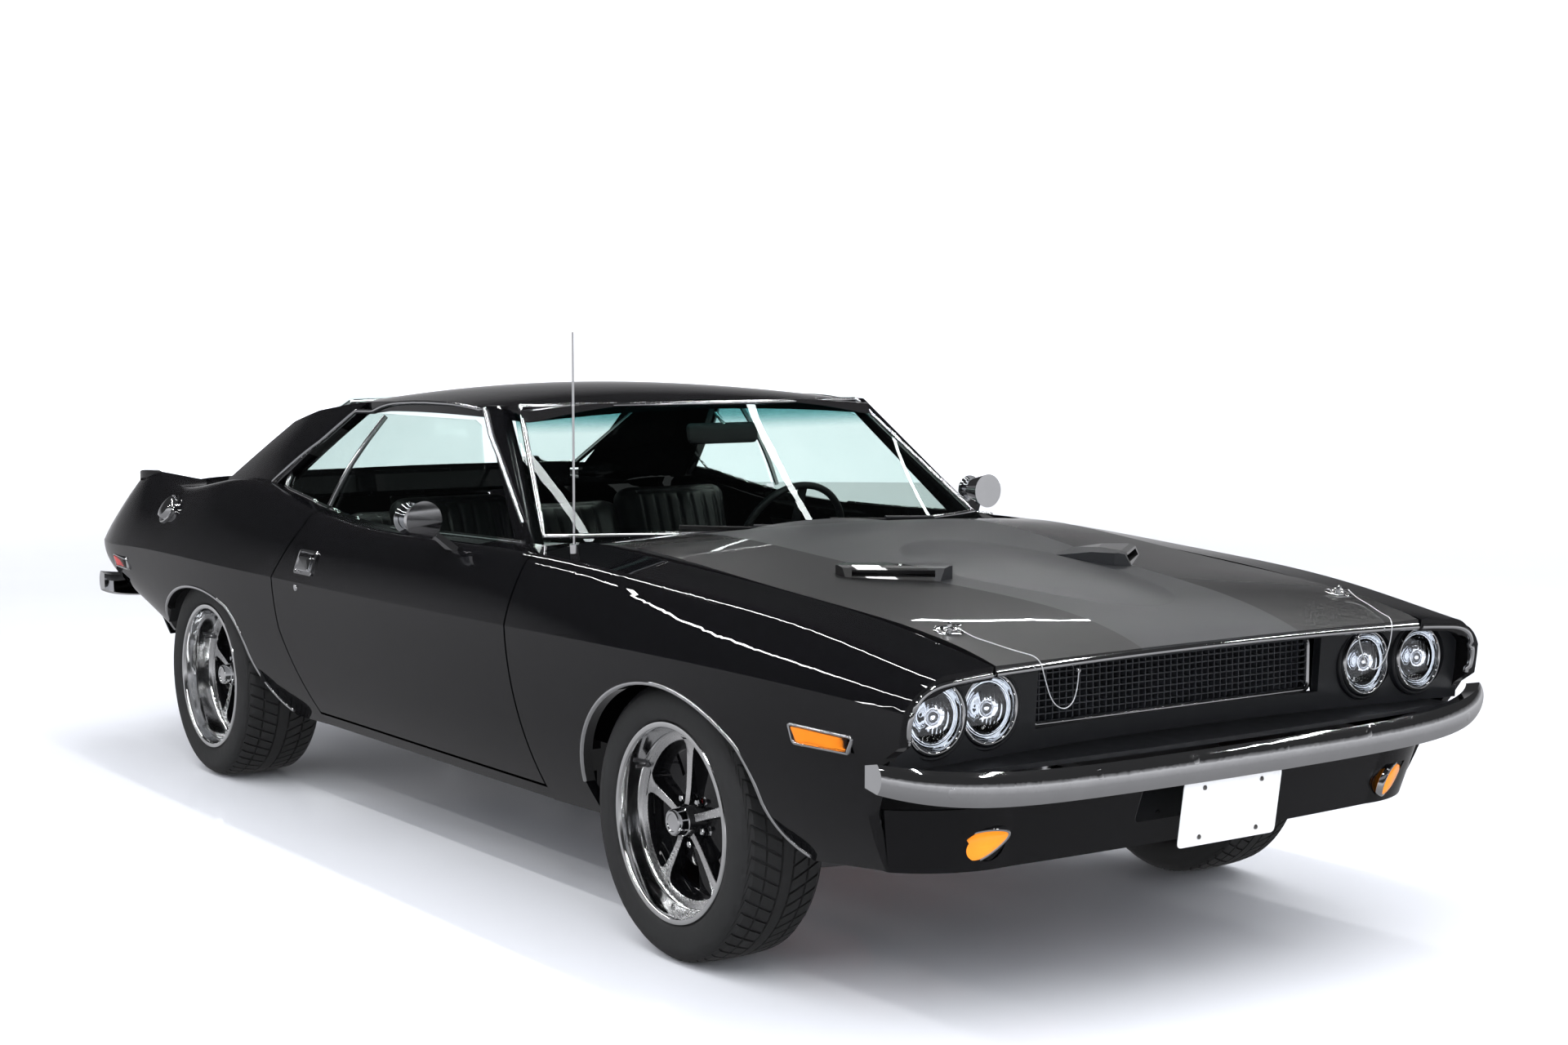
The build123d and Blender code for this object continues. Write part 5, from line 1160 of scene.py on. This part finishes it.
plate = Shape().add(
    layered(
        plate_out, on_plate,
        [(1.0, -0.0012), (1.0, 0.0004), (0.996, 0.0012), (0.95, 0.0012), (0.945, 0.0004), (0.5, 0.0004)]
    ), PLATE
)
for y in (-0.0889, 0.0889):
    for z in (0.056, -0.056):
        at = on_plate(Vector((y, z)), 0.001)
        plate.add(button(at, (1, 0, PLATE_TILT), 0.0055, 0.0025, 16), STEEL)
    plate.add(block((2.330, y - 0.014, 0.470), (2.398, y + 0.014, 0.4735), 0.0006), UNDER)
    plate.add(block((2.3900, y - 0.014, 0.4500), (2.3935, y + 0.014, 0.4730), 0.0006), UNDER)
plate.make("blank_plate", "car_body", "chrome", angle=30)

PIN_X, PIN_Y = 2.155, 0.610
for sign, side in SIDES:
    point, way = from_above(("hood",), PIN_X, sign * PIN_Y)
    pin = Shape()
    pin.add(
        turned(
            [
                (0.034, -0.002), (0.034, 0.0015), (0.031, 0.0028), (0.012, 0.0030), (0.011, 0.0022),
                (0.0, 0.0022)
            ], 40, point, way
        ), CHROME
    )
    for k in range(3):
        a = 2 * math.pi * k / 3 + 0.5
        spot = point + Vector((0.023 * math.cos(a), 0.023 * math.sin(a), 0.0))
        spot = from_above(("hood",), spot.x, spot.y)[0]
        pin.add(button(spot + way * 0.002, way, 0.0042, 0.0020, 14), STEEL)
    pin.add(
        turned([(0.0055, -0.004), (0.0055, 0.016), (0.0035, 0.020), (0.0, 0.021)], 18, point, way), CHROME
    )
    axis, u, v = across(way)
    clip = through(
        [
            point + way * 0.010 + u * a + v * b for a,
            b in (
                (-0.030, 0.004), (-0.010, 0.0065), (0.012, 0.0065), (0.028, 0.012), (0.036, 0.0),
                (0.028, -0.012), (0.012, -0.0065), (-0.012, -0.0065), (-0.032, -0.004)
            )
        ], 6
    )
    pin.add(swept(clip, [way] * len(clip), ring_section(0.0016, 8)), CHROME)
    pin.make(f"hood_pin_{side}", "hood", "chrome", angle=40)
    route = [tuple(point + way * 0.0115 + Vector((0.030, 0, 0)))]
    for x, y in ((2.215, 0.604), (2.270, 0.588), (2.325, 0.566)):
        lie = from_above(("hood",), x, sign * y)[0]
        route.append((x, sign * y, lie.z + 0.006))
    route += [
        (2.376, sign * 0.548, 0.790), (2.381, sign * 0.538, 0.742), (2.380, sign * 0.516, 0.690),
        (2.380, sign * 0.478, 0.672), (2.379, sign * 0.446, 0.700), (2.372, sign * 0.436, 0.752)
    ]
    data = bpy.data.curves.new(f"hood_pin_lanyard_{side}", "CURVE")
    data.dimensions = "3D"
    data.bevel_depth = 0.0012
    data.bevel_resolution = 3
    data.resolution_u = 10
    line = data.splines.new("NURBS")
    line.points.add(len(route) - 1)
    for spot, place in zip(line.points, route):
        spot.co = (*place, 1.0)
    line.order_u = 3
    line.use_endpoint_u = True
    data.materials.append(CORD)
    cord = bpy.data.objects.new(f"hood_pin_lanyard_{side}", data)
    scene.collection.objects.link(cord)
    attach(cord, "hood")
    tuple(route[0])
    eye = Vector(route[-1])
    Shape().add(
        turned(
            [
                (0.0, -0.002), (0.0042, -0.002), (0.0046, 0.0), (0.0042, 0.006), (0.0022, 0.012),
                (0.0, 0.012)
            ], 14, eye, (-1, 0, 0.2)
        ), CHROME
    ).make(f"lanyard_eye_{side}", "hood", "chrome")


# Fuel cap, mirror glasses and exhaust tips
point, way = hit(("quarter_right",), (-1.691, -1.4, 0.851), (0, 1, 0))
cap = Shape()
flange = [
    (0.0, -0.010), (0.0545, -0.010), (0.0545, 0.004), (0.0520, 0.0065), (0.0440, 0.0072), (0.0425, 0.0060)
]
dome = [
    (0.0425, 0.0060), (0.0415, 0.0180), (0.0390, 0.0225), (0.0300, 0.0262), (0.0180, 0.0285),
    (0.0, 0.0292)
]
cap.add(turned(flange, 60, point, way), CHROME)
cap.add(turned(dome, 60, point, way), CHROME)
axis, u, v = across(way)
for k in range(8):
    a = 2 * math.pi * k / 8
    cap.add(
        button(
            point + way * 0.006 + (u * math.cos(a) + v * math.sin(a)) * 0.0485, way, 0.0032, 0.0018, 12
        ), STEEL
    )
cap.add(
    turned(
        [(0.0, -0.02), (0.004, -0.02), (0.0045, 0.0), (0.004, 0.02), (0.0, 0.02)], 14,
        point + way * 0.012 + v * 0.046, u
    ), CHROME
)
cap.make("fuel_filler_cap", "car_body", "chrome", ("fuel_cap",), angle=30)

for sign, side in SIDES:
    point, way = hit((f"mirror_{side}",), (0.0, sign * 0.972, 0.960), (1, 0, 0))
    Shape().add(
        turned([(0.0440, -0.002), (0.0440, 0.0008), (0.0425, 0.0014), (0.0, 0.0022)], 48, point, way),
        MIRROR
    ).make(f"mirror_glass_{side}", f"door_{side}", "chrome")

for sign, side in SIDES:
    mesh = NODES["exhaust"].data
    end = [v.co for v in mesh.vertices if v.co.x < -2.270 and v.co.y * sign > 0]
    middle = sum(end, Vector()) / len(end)
    reach = max((p - middle).length for p in end)
    tip = [
        (reach - 0.004, 0.0), (reach + 0.0005, -0.001), (reach + 0.0045, 0.002), (reach + 0.0050, 0.010),
        (reach + 0.0035, 0.110), (reach + 0.0005, 0.114)
    ]
    Shape().add(
        turned(tip, 40, (middle.x - 0.004, middle.y, middle.z), (1, 0, 0)), CHROME
    ).make(f"exhaust_tip_{side}", "car_body", "chrome")

# Rear wheel wells: a round liner over each wheel, with its inner wall
WELL_RADIUS, WELL_HUB, WELL_SKIN = 0.404, 0.150, 0.003
WELL_INNER, WELL_OUTER = 0.560, 0.885
for sign, side in SIDES:
    tyre = [v.co for v in NODES[f"tyre_rear_{side}"].data.vertices]
    hub_x, hub_z = [(min(p[i] for p in tyre) + max(p[i] for p in tyre)) / 2 for i in (0, 2)]
    rows, wall = [], []
    for k in range(41):
        a = math.radians(4 + 156 * k / 40)
        row = []
        for radius, y in (
            (WELL_RADIUS, WELL_OUTER), (WELL_RADIUS, WELL_INNER), (WELL_RADIUS + WELL_SKIN, WELL_INNER),
            (WELL_RADIUS + WELL_SKIN, WELL_OUTER)
        ):
            row.append(Vector((hub_x + radius * math.cos(a), sign * y, hub_z + radius * math.sin(a))))
        rows.append(row)
        wall.append(
            [
                Vector((hub_x + r * math.cos(a), sign * y, hub_z + r * math.sin(a))) for r,
                y in (
                    (WELL_RADIUS, WELL_INNER + WELL_SKIN), (WELL_HUB, WELL_INNER + WELL_SKIN),
                    (WELL_HUB, WELL_INNER), (WELL_RADIUS, WELL_INNER)
                )
            ]
        )
    well = Shape().add(strip(rows, caps=True), UNDER).add(strip(wall, caps=True), UNDER)
    well.make(f"wheel_well_{side}", "car_body", "under_paint", ("rear_wheel_housings",), angle=40)

# Wipers parked along the foot of the windshield
for number, (start, end) in enumerate((((0.62, 0.015), (0.10, 0.075)), ((0.02, 0.012), (-0.52, 0.072)))):
    points = []
    for k in range(15):
        t = k / 14
        here = screen_point(*SHIELD, start[0] + (end[0] - start[0]) * t, start[1] + (end[1] - start[1]) * t)
        points.append((here + Vector((0.006, 0, 0.008)), Vector((0.6, 0, 0.8))))
    blade = Shape()
    path, ways = [p for p, _ in points], [w for _, w in points]
    blade.add(swept(path, ways, half_round(0.007, 0.006, 0.006)), BLADE_RUBBER_AND_SHADE)
    arm = path[:8]
    blade.add(
        swept([p + Vector((0.004, 0, 0.008)) for p in arm], ways[:8], half_round(0.009, 0.003, 0.003)),
        SATIN
    )
    blade.make(f"wiper_{number}", "car_body", "satin_paint", angle=40)

# Cabin: roof lining, door cards, dash, mirror
def laid(names, places, origin, direction, lift, thickness, rows, columns):
    """A lining laid on a CAD surface, from rows of places that rays are sent from."""
    top, under = [], []
    for i in range(rows + 1):
        line, low = [], []
        for k in range(columns + 1):
            point, way = hit(names, origin(*places(i / rows, k / columns)), direction)
            line.append(point - Vector(direction) * (lift + thickness))
            low.append(point - Vector(direction) * lift)
        top.append(line)
        under.append(low)
    edge = [[*row, *lower[::-1]] for row, lower in zip(top, under)]
    return strip(edge, caps=True)


lining = laid(
    ("roof_panel",), lambda i, k: (0.235 - 1.150 * i, -0.575 + 1.150 * k), lambda x, y: (x, y, 1.05),
    (0, 0, 1), 0.002, 0.004, 24, 24
)
Shape().add(lining, VINYL).make("roof_lining", "car_body", "vinyl", angle=60)
for sign, side in SIDES:
    card = laid(
        (f"door_{side}",), lambda i, k: (0.700 - 1.240 * k, 0.380 + 0.440 * i), lambda x, z,
        s=sign: (x, s * 0.40, z), (0, sign, 0), 0.001, 0.006, 14, 24
    )
    trimmed = Shape().add(card, VINYL)
    inner = hit((f"door_{side}",), (0.0, sign * 0.40, 0.640), (0, sign, 0))[0].y
    arm = sorted((inner - sign * 0.004, inner - sign * 0.060))
    trimmed.add(block((-0.330, arm[0], 0.610), (0.190, arm[1], 0.662), 0.016), VINYL)
    pull = [
        Vector((x, inner - sign * (0.012 + 0.014 * math.sin(math.pi * k / 10)), 0.745)) for k,
        x in enumerate([0.10 + 0.024 * k for k in range(11)])
    ]
    trimmed.add(swept(pull, [Vector((0, -sign, 0))] * len(pull), ring_section(0.006, 10)), BRIGHT)
    crank = Vector((0.330, inner - sign * 0.006, 0.640))
    trimmed.add(
        turned([(0.022, 0.0), (0.022, 0.006), (0.014, 0.012), (0.0, 0.014)], 24, crank, (0, -sign, 0)),
        CHROME
    )
    trimmed.add(
        block(
            (crank.x - 0.008, min(crank.y, crank.y - sign * 0.020), 0.560),
            (crank.x + 0.008, max(crank.y, crank.y - sign * 0.020), 0.645), 0.003
        ), CHROME
    )
    trimmed.make(f"door_card_{side}", f"door_{side}", "vinyl", angle=45)

DASH_PROFILE = [
    (0.700, 0.626), (0.702, 0.835), (0.690, 0.852), (0.650, 0.859), (0.580, 0.859), (0.525, 0.853),
    (0.496, 0.840), (0.484, 0.820), (0.490, 0.800), (0.512, 0.786), (0.526, 0.770), (0.520, 0.690),
    (0.508, 0.668), (0.504, 0.645), (0.514, 0.626)
]
rows = []
for k in range(41):
    share = -1 + 2 * k / 40
    ease = max(0.0, abs(share) - 0.965) / 0.035
    middle = Vector((0.60, 0.74))
    row = []
    for x, z in DASH_PROFILE:
        p = middle + (Vector((x, z)) - middle) * (1 - 0.06 * ease**2)
        row.append(Vector((p.x, 0.686 * share, p.y)))
    rows.append(row)
dash = Shape().add(strip(rows, caps=True), DASH)
DIALS = [(0.495, 0.730, 0.046), (0.395, 0.734, 0.046), (0.300, 0.730, 0.040), (0.218, 0.722, 0.028)]
BACK = (-1, 0, 0.10)
for y, z, radius in DIALS:
    face = Vector((0.5225, y, z))
    dash.add(
        turned(
            [(radius + 0.006, -0.004), (radius + 0.005, 0.006), (radius + 0.001, 0.008), (radius, 0.002)],
            40, face, BACK
        ), CHROME
    )
    dash.add(turned([(radius, 0.002), (radius * 0.5, 0.0015), (0.0, 0.0015)], 40, face, BACK), DIAL)
    axis, u, v = across(BACK)
    for k in range(19):
        a = math.radians(-135 + 15 * k)
        way = -u * math.sin(a) + v * math.cos(a)
        side = axis.cross(way)
        a0, a1 = radius * (0.74 if k % 3 else 0.66), radius * 0.88
        corners = [
            face + axis * 0.0024 + way * r + side * s for r,
            s in ((a0, -0.0007), (a1, -0.0007), (a1, 0.0007), (a0, 0.0007))
        ]
        dash.add((corners, [[0, 1, 2, 3]]), CLOCK)
    needle = -u * math.sin(-1.9) + v * math.cos(-1.9)
    side = axis.cross(needle)
    corners = [
        face + axis * 0.004 + needle * r + side * s for r,
        s in ((-0.01, -0.0012), (radius * 0.8, -0.0004), (radius * 0.8, 0.0004), (-0.01, 0.0012))
    ]
    dash.add((corners, [[0, 1, 2, 3]]), CALIPER)
glove = rounded([(-0.62, 0.655), (-0.24, 0.655), (-0.24, 0.755), (-0.62, 0.755)], 0.012, 4)
dash.add(
    layered(
        glove, lambda p, lift: Vector((0.5235 - lift - 0.06 * (0.755 - p.y), p.x, p.y)),
        [(1.0, -0.006), (1.0, 0.003), (0.985, 0.0045), (0.5, 0.0045)]
    ), DASH
)
dash.add(button(Vector((0.515, -0.43, 0.735)), (-1, 0, 0), 0.010, 0.006, 20), CHROME)
radio = rounded([(-0.10, 0.690), (0.10, 0.690), (0.10, 0.745), (-0.10, 0.745)], 0.006, 4)
dash.add(
    layered(
        radio, lambda p, lift: Vector((0.5225 - lift, p.x, p.y)),
        [(1.0, -0.006), (1.0, 0.004), (0.97, 0.005), (0.5, 0.005)]
    ), BRIGHT
)
for y in (-0.078, 0.078):
    dash.add(
        turned([(0.011, 0.0), (0.010, 0.014), (0.0, 0.015)], 20, (0.518, y, 0.717), (-1, 0, 0)), CHROME
    )
dash.make("padded_dash", "car_body", "dash_plastic", ("dashboard",), angle=40)

inside_mirror = Shape()
glass_out = rounded([(-0.118, -0.030), (0.118, -0.030), (0.122, 0.030), (-0.122, 0.030)], 0.020, 5)


def on_mirror(p, lift):
    return Vector((0.378 - lift - 0.12 * p.y, p.x, 1.165 + p.y))


inside_mirror.add(
    layered(
        glass_out, on_mirror,
        [(0.55, -0.026), (0.86, -0.022), (0.98, -0.012), (1.0, 0.0), (0.97, 0.003), (0.93, 0.003)]
    ), DASH
)
inside_mirror.add(layered(glass_out, on_mirror, [(0.93, 0.0024), (0.93, 0.0034), (0.5, 0.0034)]), MIRROR)
stalk = through([(0.395, 0.0, 1.168), (0.385, 0.0, 1.195), (0.345, 0.0, 1.222)], 6)
inside_mirror.add(swept(stalk, [Vector((0, 1, 0))] * len(stalk), ring_section(0.006, 10)), CHROME)
inside_mirror.make("inside_mirror", "car_body", "dash_plastic", angle=40)


# Seats: vinyl covers that swell over their padding, then pleats sewn into the middle
SEAT_Y = 0.402
COVER_MESH, COVER_PRESSURE, COVER_FRAMES, COVER_TRAVEL = 0.010, 4.0, 20, 0.012
def rounded_box(size, radius, crown, cuts):
    """A soft box about the origin, as points and faces, fuller in its middle."""
    work = bmesh.new()
    bmesh.ops.create_cube(work, size=2)
    bmesh.ops.subdivide_edges(work, edges=work.edges[:], cuts=cuts, use_grid_fill=True)
    half = Vector(size) / 2
    for vert in work.verts:
        unit = vert.co.copy()
        p = Vector((unit.x * half.x, unit.y * half.y, unit.z * half.z))
        core = Vector([max(-h + radius, min(h - radius, c)) for c, h in zip(p, half)])
        off = p - core
        if off.length > 1e-9:
            p = core + off.normalized() * radius
        p.z += math.copysign(
            crown, unit.z
        ) * (1 - unit.x**2) * (1 - unit.y**2) if abs(unit.z) > 0.5 else 0.0
        waist = 1 - 0.03 * (1 - unit.x**2) * (1 - unit.z**2)
        vert.co = Vector((p.x, p.y * waist, p.z))
    work.verts.index_update()
    made = [v.co.copy() for v in work.verts], [[v.index for v in f.verts] for f in work.faces]
    work.free()
    return made


def swell(obj, cap):
    """Let the cover puff up under pressure, and keep each point's travel within a cap."""
    def shaped():
        return bpy.data.meshes.new_from_object(obj.evaluated_get(bpy.context.evaluated_depsgraph_get()))

    remesh = obj.modifiers.new("even_mesh", "REMESH")
    remesh.mode = "VOXEL"
    remesh.voxel_size = COVER_MESH
    obj.data = shaped()
    obj.modifiers.clear()
    before = [v.co.copy() for v in obj.data.vertices]
    cloth = obj.modifiers.new("cover", "CLOTH")
    cloth.settings.use_pressure = True
    cloth.settings.uniform_pressure_force = COVER_PRESSURE
    cloth.settings.effector_weights.gravity = 0.0
    cloth.settings.quality = 4
    for number in range(1, COVER_FRAMES + 1):
        scene.frame_set(number)
    after = [v.co.copy() for v in shaped().vertices]
    obj.modifiers.clear()
    scene.frame_set(1)
    for vert, old, new in zip(obj.data.vertices, before, after):
        travel = new - old
        vert.co = old + travel * min(1.0, cap / max(travel.length, 1e-9))


def pad(name, size, radius, crown, pleat_half, pleat_step, cap):
    """A padded cover about the origin, its upper face (+Z) pleated along X between two cross seams."""
    points, faces = rounded_box(size, radius, crown, 17)
    mesh = bpy.data.meshes.new(name)
    mesh.from_pydata(points, [], faces)
    obj = bpy.data.objects.new(name, mesh)
    scene.collection.objects.link(obj)
    swell(obj, cap)
    smooth = obj.modifiers.new("smooth", "SUBSURF")
    smooth.levels = smooth.render_levels = 1
    obj.data = bpy.data.meshes.new_from_object(obj.evaluated_get(bpy.context.evaluated_depsgraph_get()))
    obj.modifiers.clear()
    half_x = size[0] / 2 - radius * 0.8
    for vert in obj.data.vertices:
        x, y, z = vert.co
        if z < size[2] * 0.2:
            continue
        fade = max(0.0, min(1.0, (half_x - abs(x)) / 0.03))
        groove = 0.0
        if abs(y) < pleat_half + pleat_step * 0.3:
            near = abs((y / pleat_step) - round(y / pleat_step)) * pleat_step
            groove = 0.0065 * math.exp(-((near / 0.0052) ** 2)) * fade
        edge = 0.005 * math.exp(-(((abs(x) - half_x) / 0.006) ** 2)) if abs(y) < pleat_half + 0.01 else 0.0
        vert.co.z = z - max(groove, edge)
    return obj.data, obj


def seat_piece(name, data, body, place, turn, stands_for=()):
    mesh = data.copy()
    mesh.transform(Matrix.Translation(Vector(place)) @ turn)
    mesh.materials.clear()
    mesh.materials.append(VINYL)
    mesh.shade_smooth()
    obj = bpy.data.objects.new(name, mesh)
    scene.collection.objects.link(obj)
    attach(obj, body)
    if stands_for:
        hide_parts(*stands_for)
    return obj


def made_once(*settings):
    data, obj = pad(*settings)
    bpy.data.objects.remove(obj)
    return data


LEAN = Matrix.Rotation(math.radians(-17), 4, "Y") @ Matrix.Rotation(math.radians(90), 4, "Y")
BENCH_LEAN = Matrix.Rotation(math.radians(-24), 4, "Y") @ Matrix.Rotation(math.radians(90), 4, "Y")
NOSE_UP = Matrix.Rotation(math.radians(-6), 4, "Y")
bucket_cushion = made_once(
    "bucket_cushion", (0.455, 0.420, 0.125), 0.048, 0.012, 0.138, 0.046, COVER_TRAVEL
)
bucket_back = made_once("bucket_back", (0.530, 0.420, 0.105), 0.046, 0.010, 0.138, 0.046, COVER_TRAVEL)
bench_cushion = made_once("bench_cushion", (0.470, 1.060, 0.130), 0.050, 0.012, 0.400, 0.050, COVER_TRAVEL)
bench_back = made_once("bench_back", (0.430, 1.060, 0.105), 0.046, 0.010, 0.400, 0.050, COVER_TRAVEL)
for sign, side in SIDES:
    seat_piece(
        f"seat_cushion_{side}", bucket_cushion, "car_body", (-0.205, sign * SEAT_Y, 0.432), NOSE_UP,
        (f"seat_{side}",)
    )
    seat_piece(
        f"seat_back_{side}", bucket_back, "car_body", (-0.478, sign * SEAT_Y, 0.700), LEAN,
        (f"seat_{side}",)
    )
    plinth = Shape()
    plinth.add(
        block((-0.420, sign * SEAT_Y - 0.190, 0.300), (0.005, sign * SEAT_Y + 0.190, 0.372), 0.012), DASH
    )
    for rail in (-0.165, 0.165):
        plinth.add(
            block(
                (-0.440, sign * SEAT_Y + rail - 0.014, 0.277),
                (0.020, sign * SEAT_Y + rail + 0.014, 0.302), 0.003
            ), STEEL
        )
    plinth.make(f"seat_base_{side}", "car_body", "vinyl", angle=35)
seat_piece(
    "rear_seat_cushion", bench_cushion, "car_body", (-0.790, 0.0, 0.415), NOSE_UP, ("rear_seat",)
)
seat_piece("rear_seat_back", bench_back, "car_body", (-1.015, 0.0, 0.668), BENCH_LEAN, ("rear_seat",))
Shape().add(
    block((-0.990, -0.510, 0.320), (-0.580, 0.510, 0.372), 0.012), DASH
).make("rear_seat_base", "car_body", "vinyl")

# Under the hood: air cleaner, valve covers and radiator
UPWARD = (0, 0, 1)
AIR_CLEANER = (1.200, 0, 0.780)
bay = Shape()
bay.add(
    turned(
        [(0.0, 0.058), (0.010, 0.058), (0.012, 0.050), (0.150, 0.048), (0.170, 0.044), (0.175, 0.036)],
        64, AIR_CLEANER, UPWARD
    ), CHROME
)
bay.add(
    turned(
        [
            (0.175, 0.036), (0.168, 0.034), (0.168, 0.012), (0.176, 0.008), (0.172, 0.0), (0.090, -0.006),
            (0.085, -0.030)
        ], 64, AIR_CLEANER, UPWARD
    ), WRINKLE
)
for sign in (1, -1):
    cover = rounded([(1.060, -0.075), (1.500, -0.075), (1.500, 0.075), (1.060, 0.075)], 0.030, 5)
    bay.add(
        layered(
            cover, lambda p, lift, s=sign: Vector((p.x, s * (0.190 + p.y) , 0.770 + lift)),
            [(1.0, -0.010), (1.0, 0.020), (0.985, 0.036), (0.93, 0.044), (0.4, 0.046)]
        ), WRINKLE
    )
bay.make("engine_top", "car_body", "cast", angle=35)
radiator = Shape()
radiator.add(block((2.020, -0.300, 0.400), (2.070, 0.300, 0.700), 0.004), WRINKLE)
radiator.add(block((2.022, -0.310, 0.690), (2.068, 0.310, 0.735), 0.016), SATIN)
for k in range(48):
    y = -0.285 + 0.570 * k / 47
    radiator.add(block((2.014, y - 0.0015, 0.420), (2.022, y + 0.0015, 0.690)), CAST)
radiator.add(
    turned(
        [(0.026, 0.0), (0.026, 0.010), (0.020, 0.016), (0.0, 0.018)], 24, (2.045, 0.10, 0.733), UPWARD
    ), CHROME
)
radiator.make("radiator", "car_body", "cast", angle=35)


# Studio: white floor and cove, and a row of ceiling tubes. The floor and cove are left out of
# reflections, so that paint and chrome mirror the darker sky and the tubes.
TUBE_Z, TUBE_SIZE, TUBE_POWER = 4.3, (11.0, 0.10), 110
TUBE_ROWS = (-5.2, -2.6, 0.0, 2.6, 5.2)
TUBE_X = 0.5
def area(name, place, aim, size, power):
    data = bpy.data.lights.new(name, "AREA")
    data.shape = "RECTANGLE"
    data.size, data.size_y = size
    data.energy = power
    light = bpy.data.objects.new(name, data)
    light.location = place
    light.rotation_euler = (Vector(aim) - Vector(place)).to_track_quat("-Z", "Y").to_euler()
    scene.collection.objects.link(light)
    return light


def stage(name, made, material):
    mesh = bpy.data.meshes.new(name)
    mesh.from_pydata(made[0], [], made[1])
    mesh.materials.append(material)
    mesh.shade_smooth()
    obj = bpy.data.objects.new(name, mesh)
    scene.collection.objects.link(obj)
    return obj


FLOOR = finish("studio_floor", (0.86, 0.87, 0.89), 0.10, vary=0.015, scale=0.6, Specular_IOR_Level=0.3)
tree = FLOOR.node_tree
shader = tree.nodes["Principled BSDF"]
place = node(tree, "ShaderNodeTexCoord")
far = node(tree, "ShaderNodeVectorMath", operation="LENGTH")
wire(tree, place.outputs["Object"], far.inputs[0])
glow = node(tree, "ShaderNodeMapRange", interpolation_type="SMOOTHSTEP")
glow.inputs["From Min"].default_value, glow.inputs["From Max"].default_value = 3.0, 14.5
glow.inputs["To Max"].default_value = 0.42
wire(tree, far.outputs["Value"], glow.inputs["Value"])
wire(tree, glow.outputs["Result"], shader.inputs["Emission Strength"])
shader.inputs["Emission Color"].default_value = (0.95, 0.96, 1.0, 1)
COVE = finish("studio_cove", (0.90, 0.91, 0.93), 0.9, vary=0.01, scale=0.2)
COVE.node_tree.nodes["Principled BSDF"].inputs["Emission Color"].default_value = (0.95, 0.96, 1.0, 1)
COVE.node_tree.nodes["Principled BSDF"].inputs["Emission Strength"].default_value = 0.42
FLOOR_REACH, COVE_ROUND, WALL_TOP = 15.0, 5.0, 14.0
ground = stage("studio_floor", turned([(0.0, 0.0), (FLOOR_REACH, 0.0)], 96, (0, 0, 0), UPWARD), FLOOR)
bend = [
    (FLOOR_REACH + COVE_ROUND * math.sin(math.radians(a)), COVE_ROUND * (1 - math.cos(math.radians(a))))
    for a in range(0, 91, 6)
]
cove = stage(
    "studio_cove",
    turned([*bend, (FLOOR_REACH + COVE_ROUND, WALL_TOP), (0.0, WALL_TOP + 2)], 96, (0, 0, 0), UPWARD),
    COVE
)
ground.visible_glossy = cove.visible_glossy = False

world = bpy.data.worlds.new("studio")
scene.world = world
world.use_nodes = True
tree = world.node_tree
sky = tree.nodes["Background"]
place = node(tree, "ShaderNodeTexCoord")
split = node(tree, "ShaderNodeSeparateXYZ")
wire(tree, place.outputs["Generated"], split.inputs["Vector"])
ramp = node(tree, "ShaderNodeValToRGB")
stops = ramp.color_ramp.elements
# Each step of the sky: its height from straight down (0) to straight up (1), and its brightness
SKY = ((0.0, 0.20), (0.30, 0.27), (0.44, 0.42), (0.50, 0.55), (0.54, 0.28), (0.62, 0.03))
stops[0].position, stops[1].position = SKY[0][0], SKY[-1][0]
for position, _ in SKY[1:-1]:
    stops.new(position)
for stop, (position, level) in zip(stops, SKY):
    stop.color = (level, level, level * 1.03, 1)
height = node(tree, "ShaderNodeMapRange")
height.inputs["From Min"].default_value = -1.0
wire(tree, split.outputs["Z"], height.inputs["Value"])
wire(tree, height.outputs["Result"], ramp.inputs["Fac"])
wire(tree, ramp.outputs["Color"], sky.inputs["Color"])
sky.inputs["Strength"].default_value = 1.0
for number, y in enumerate(TUBE_ROWS):
    area(f"tube_{number}", (TUBE_X, y, TUBE_Z), (TUBE_X, y, 0), TUBE_SIZE, TUBE_POWER)
scene.view_settings.view_transform = "Standard"
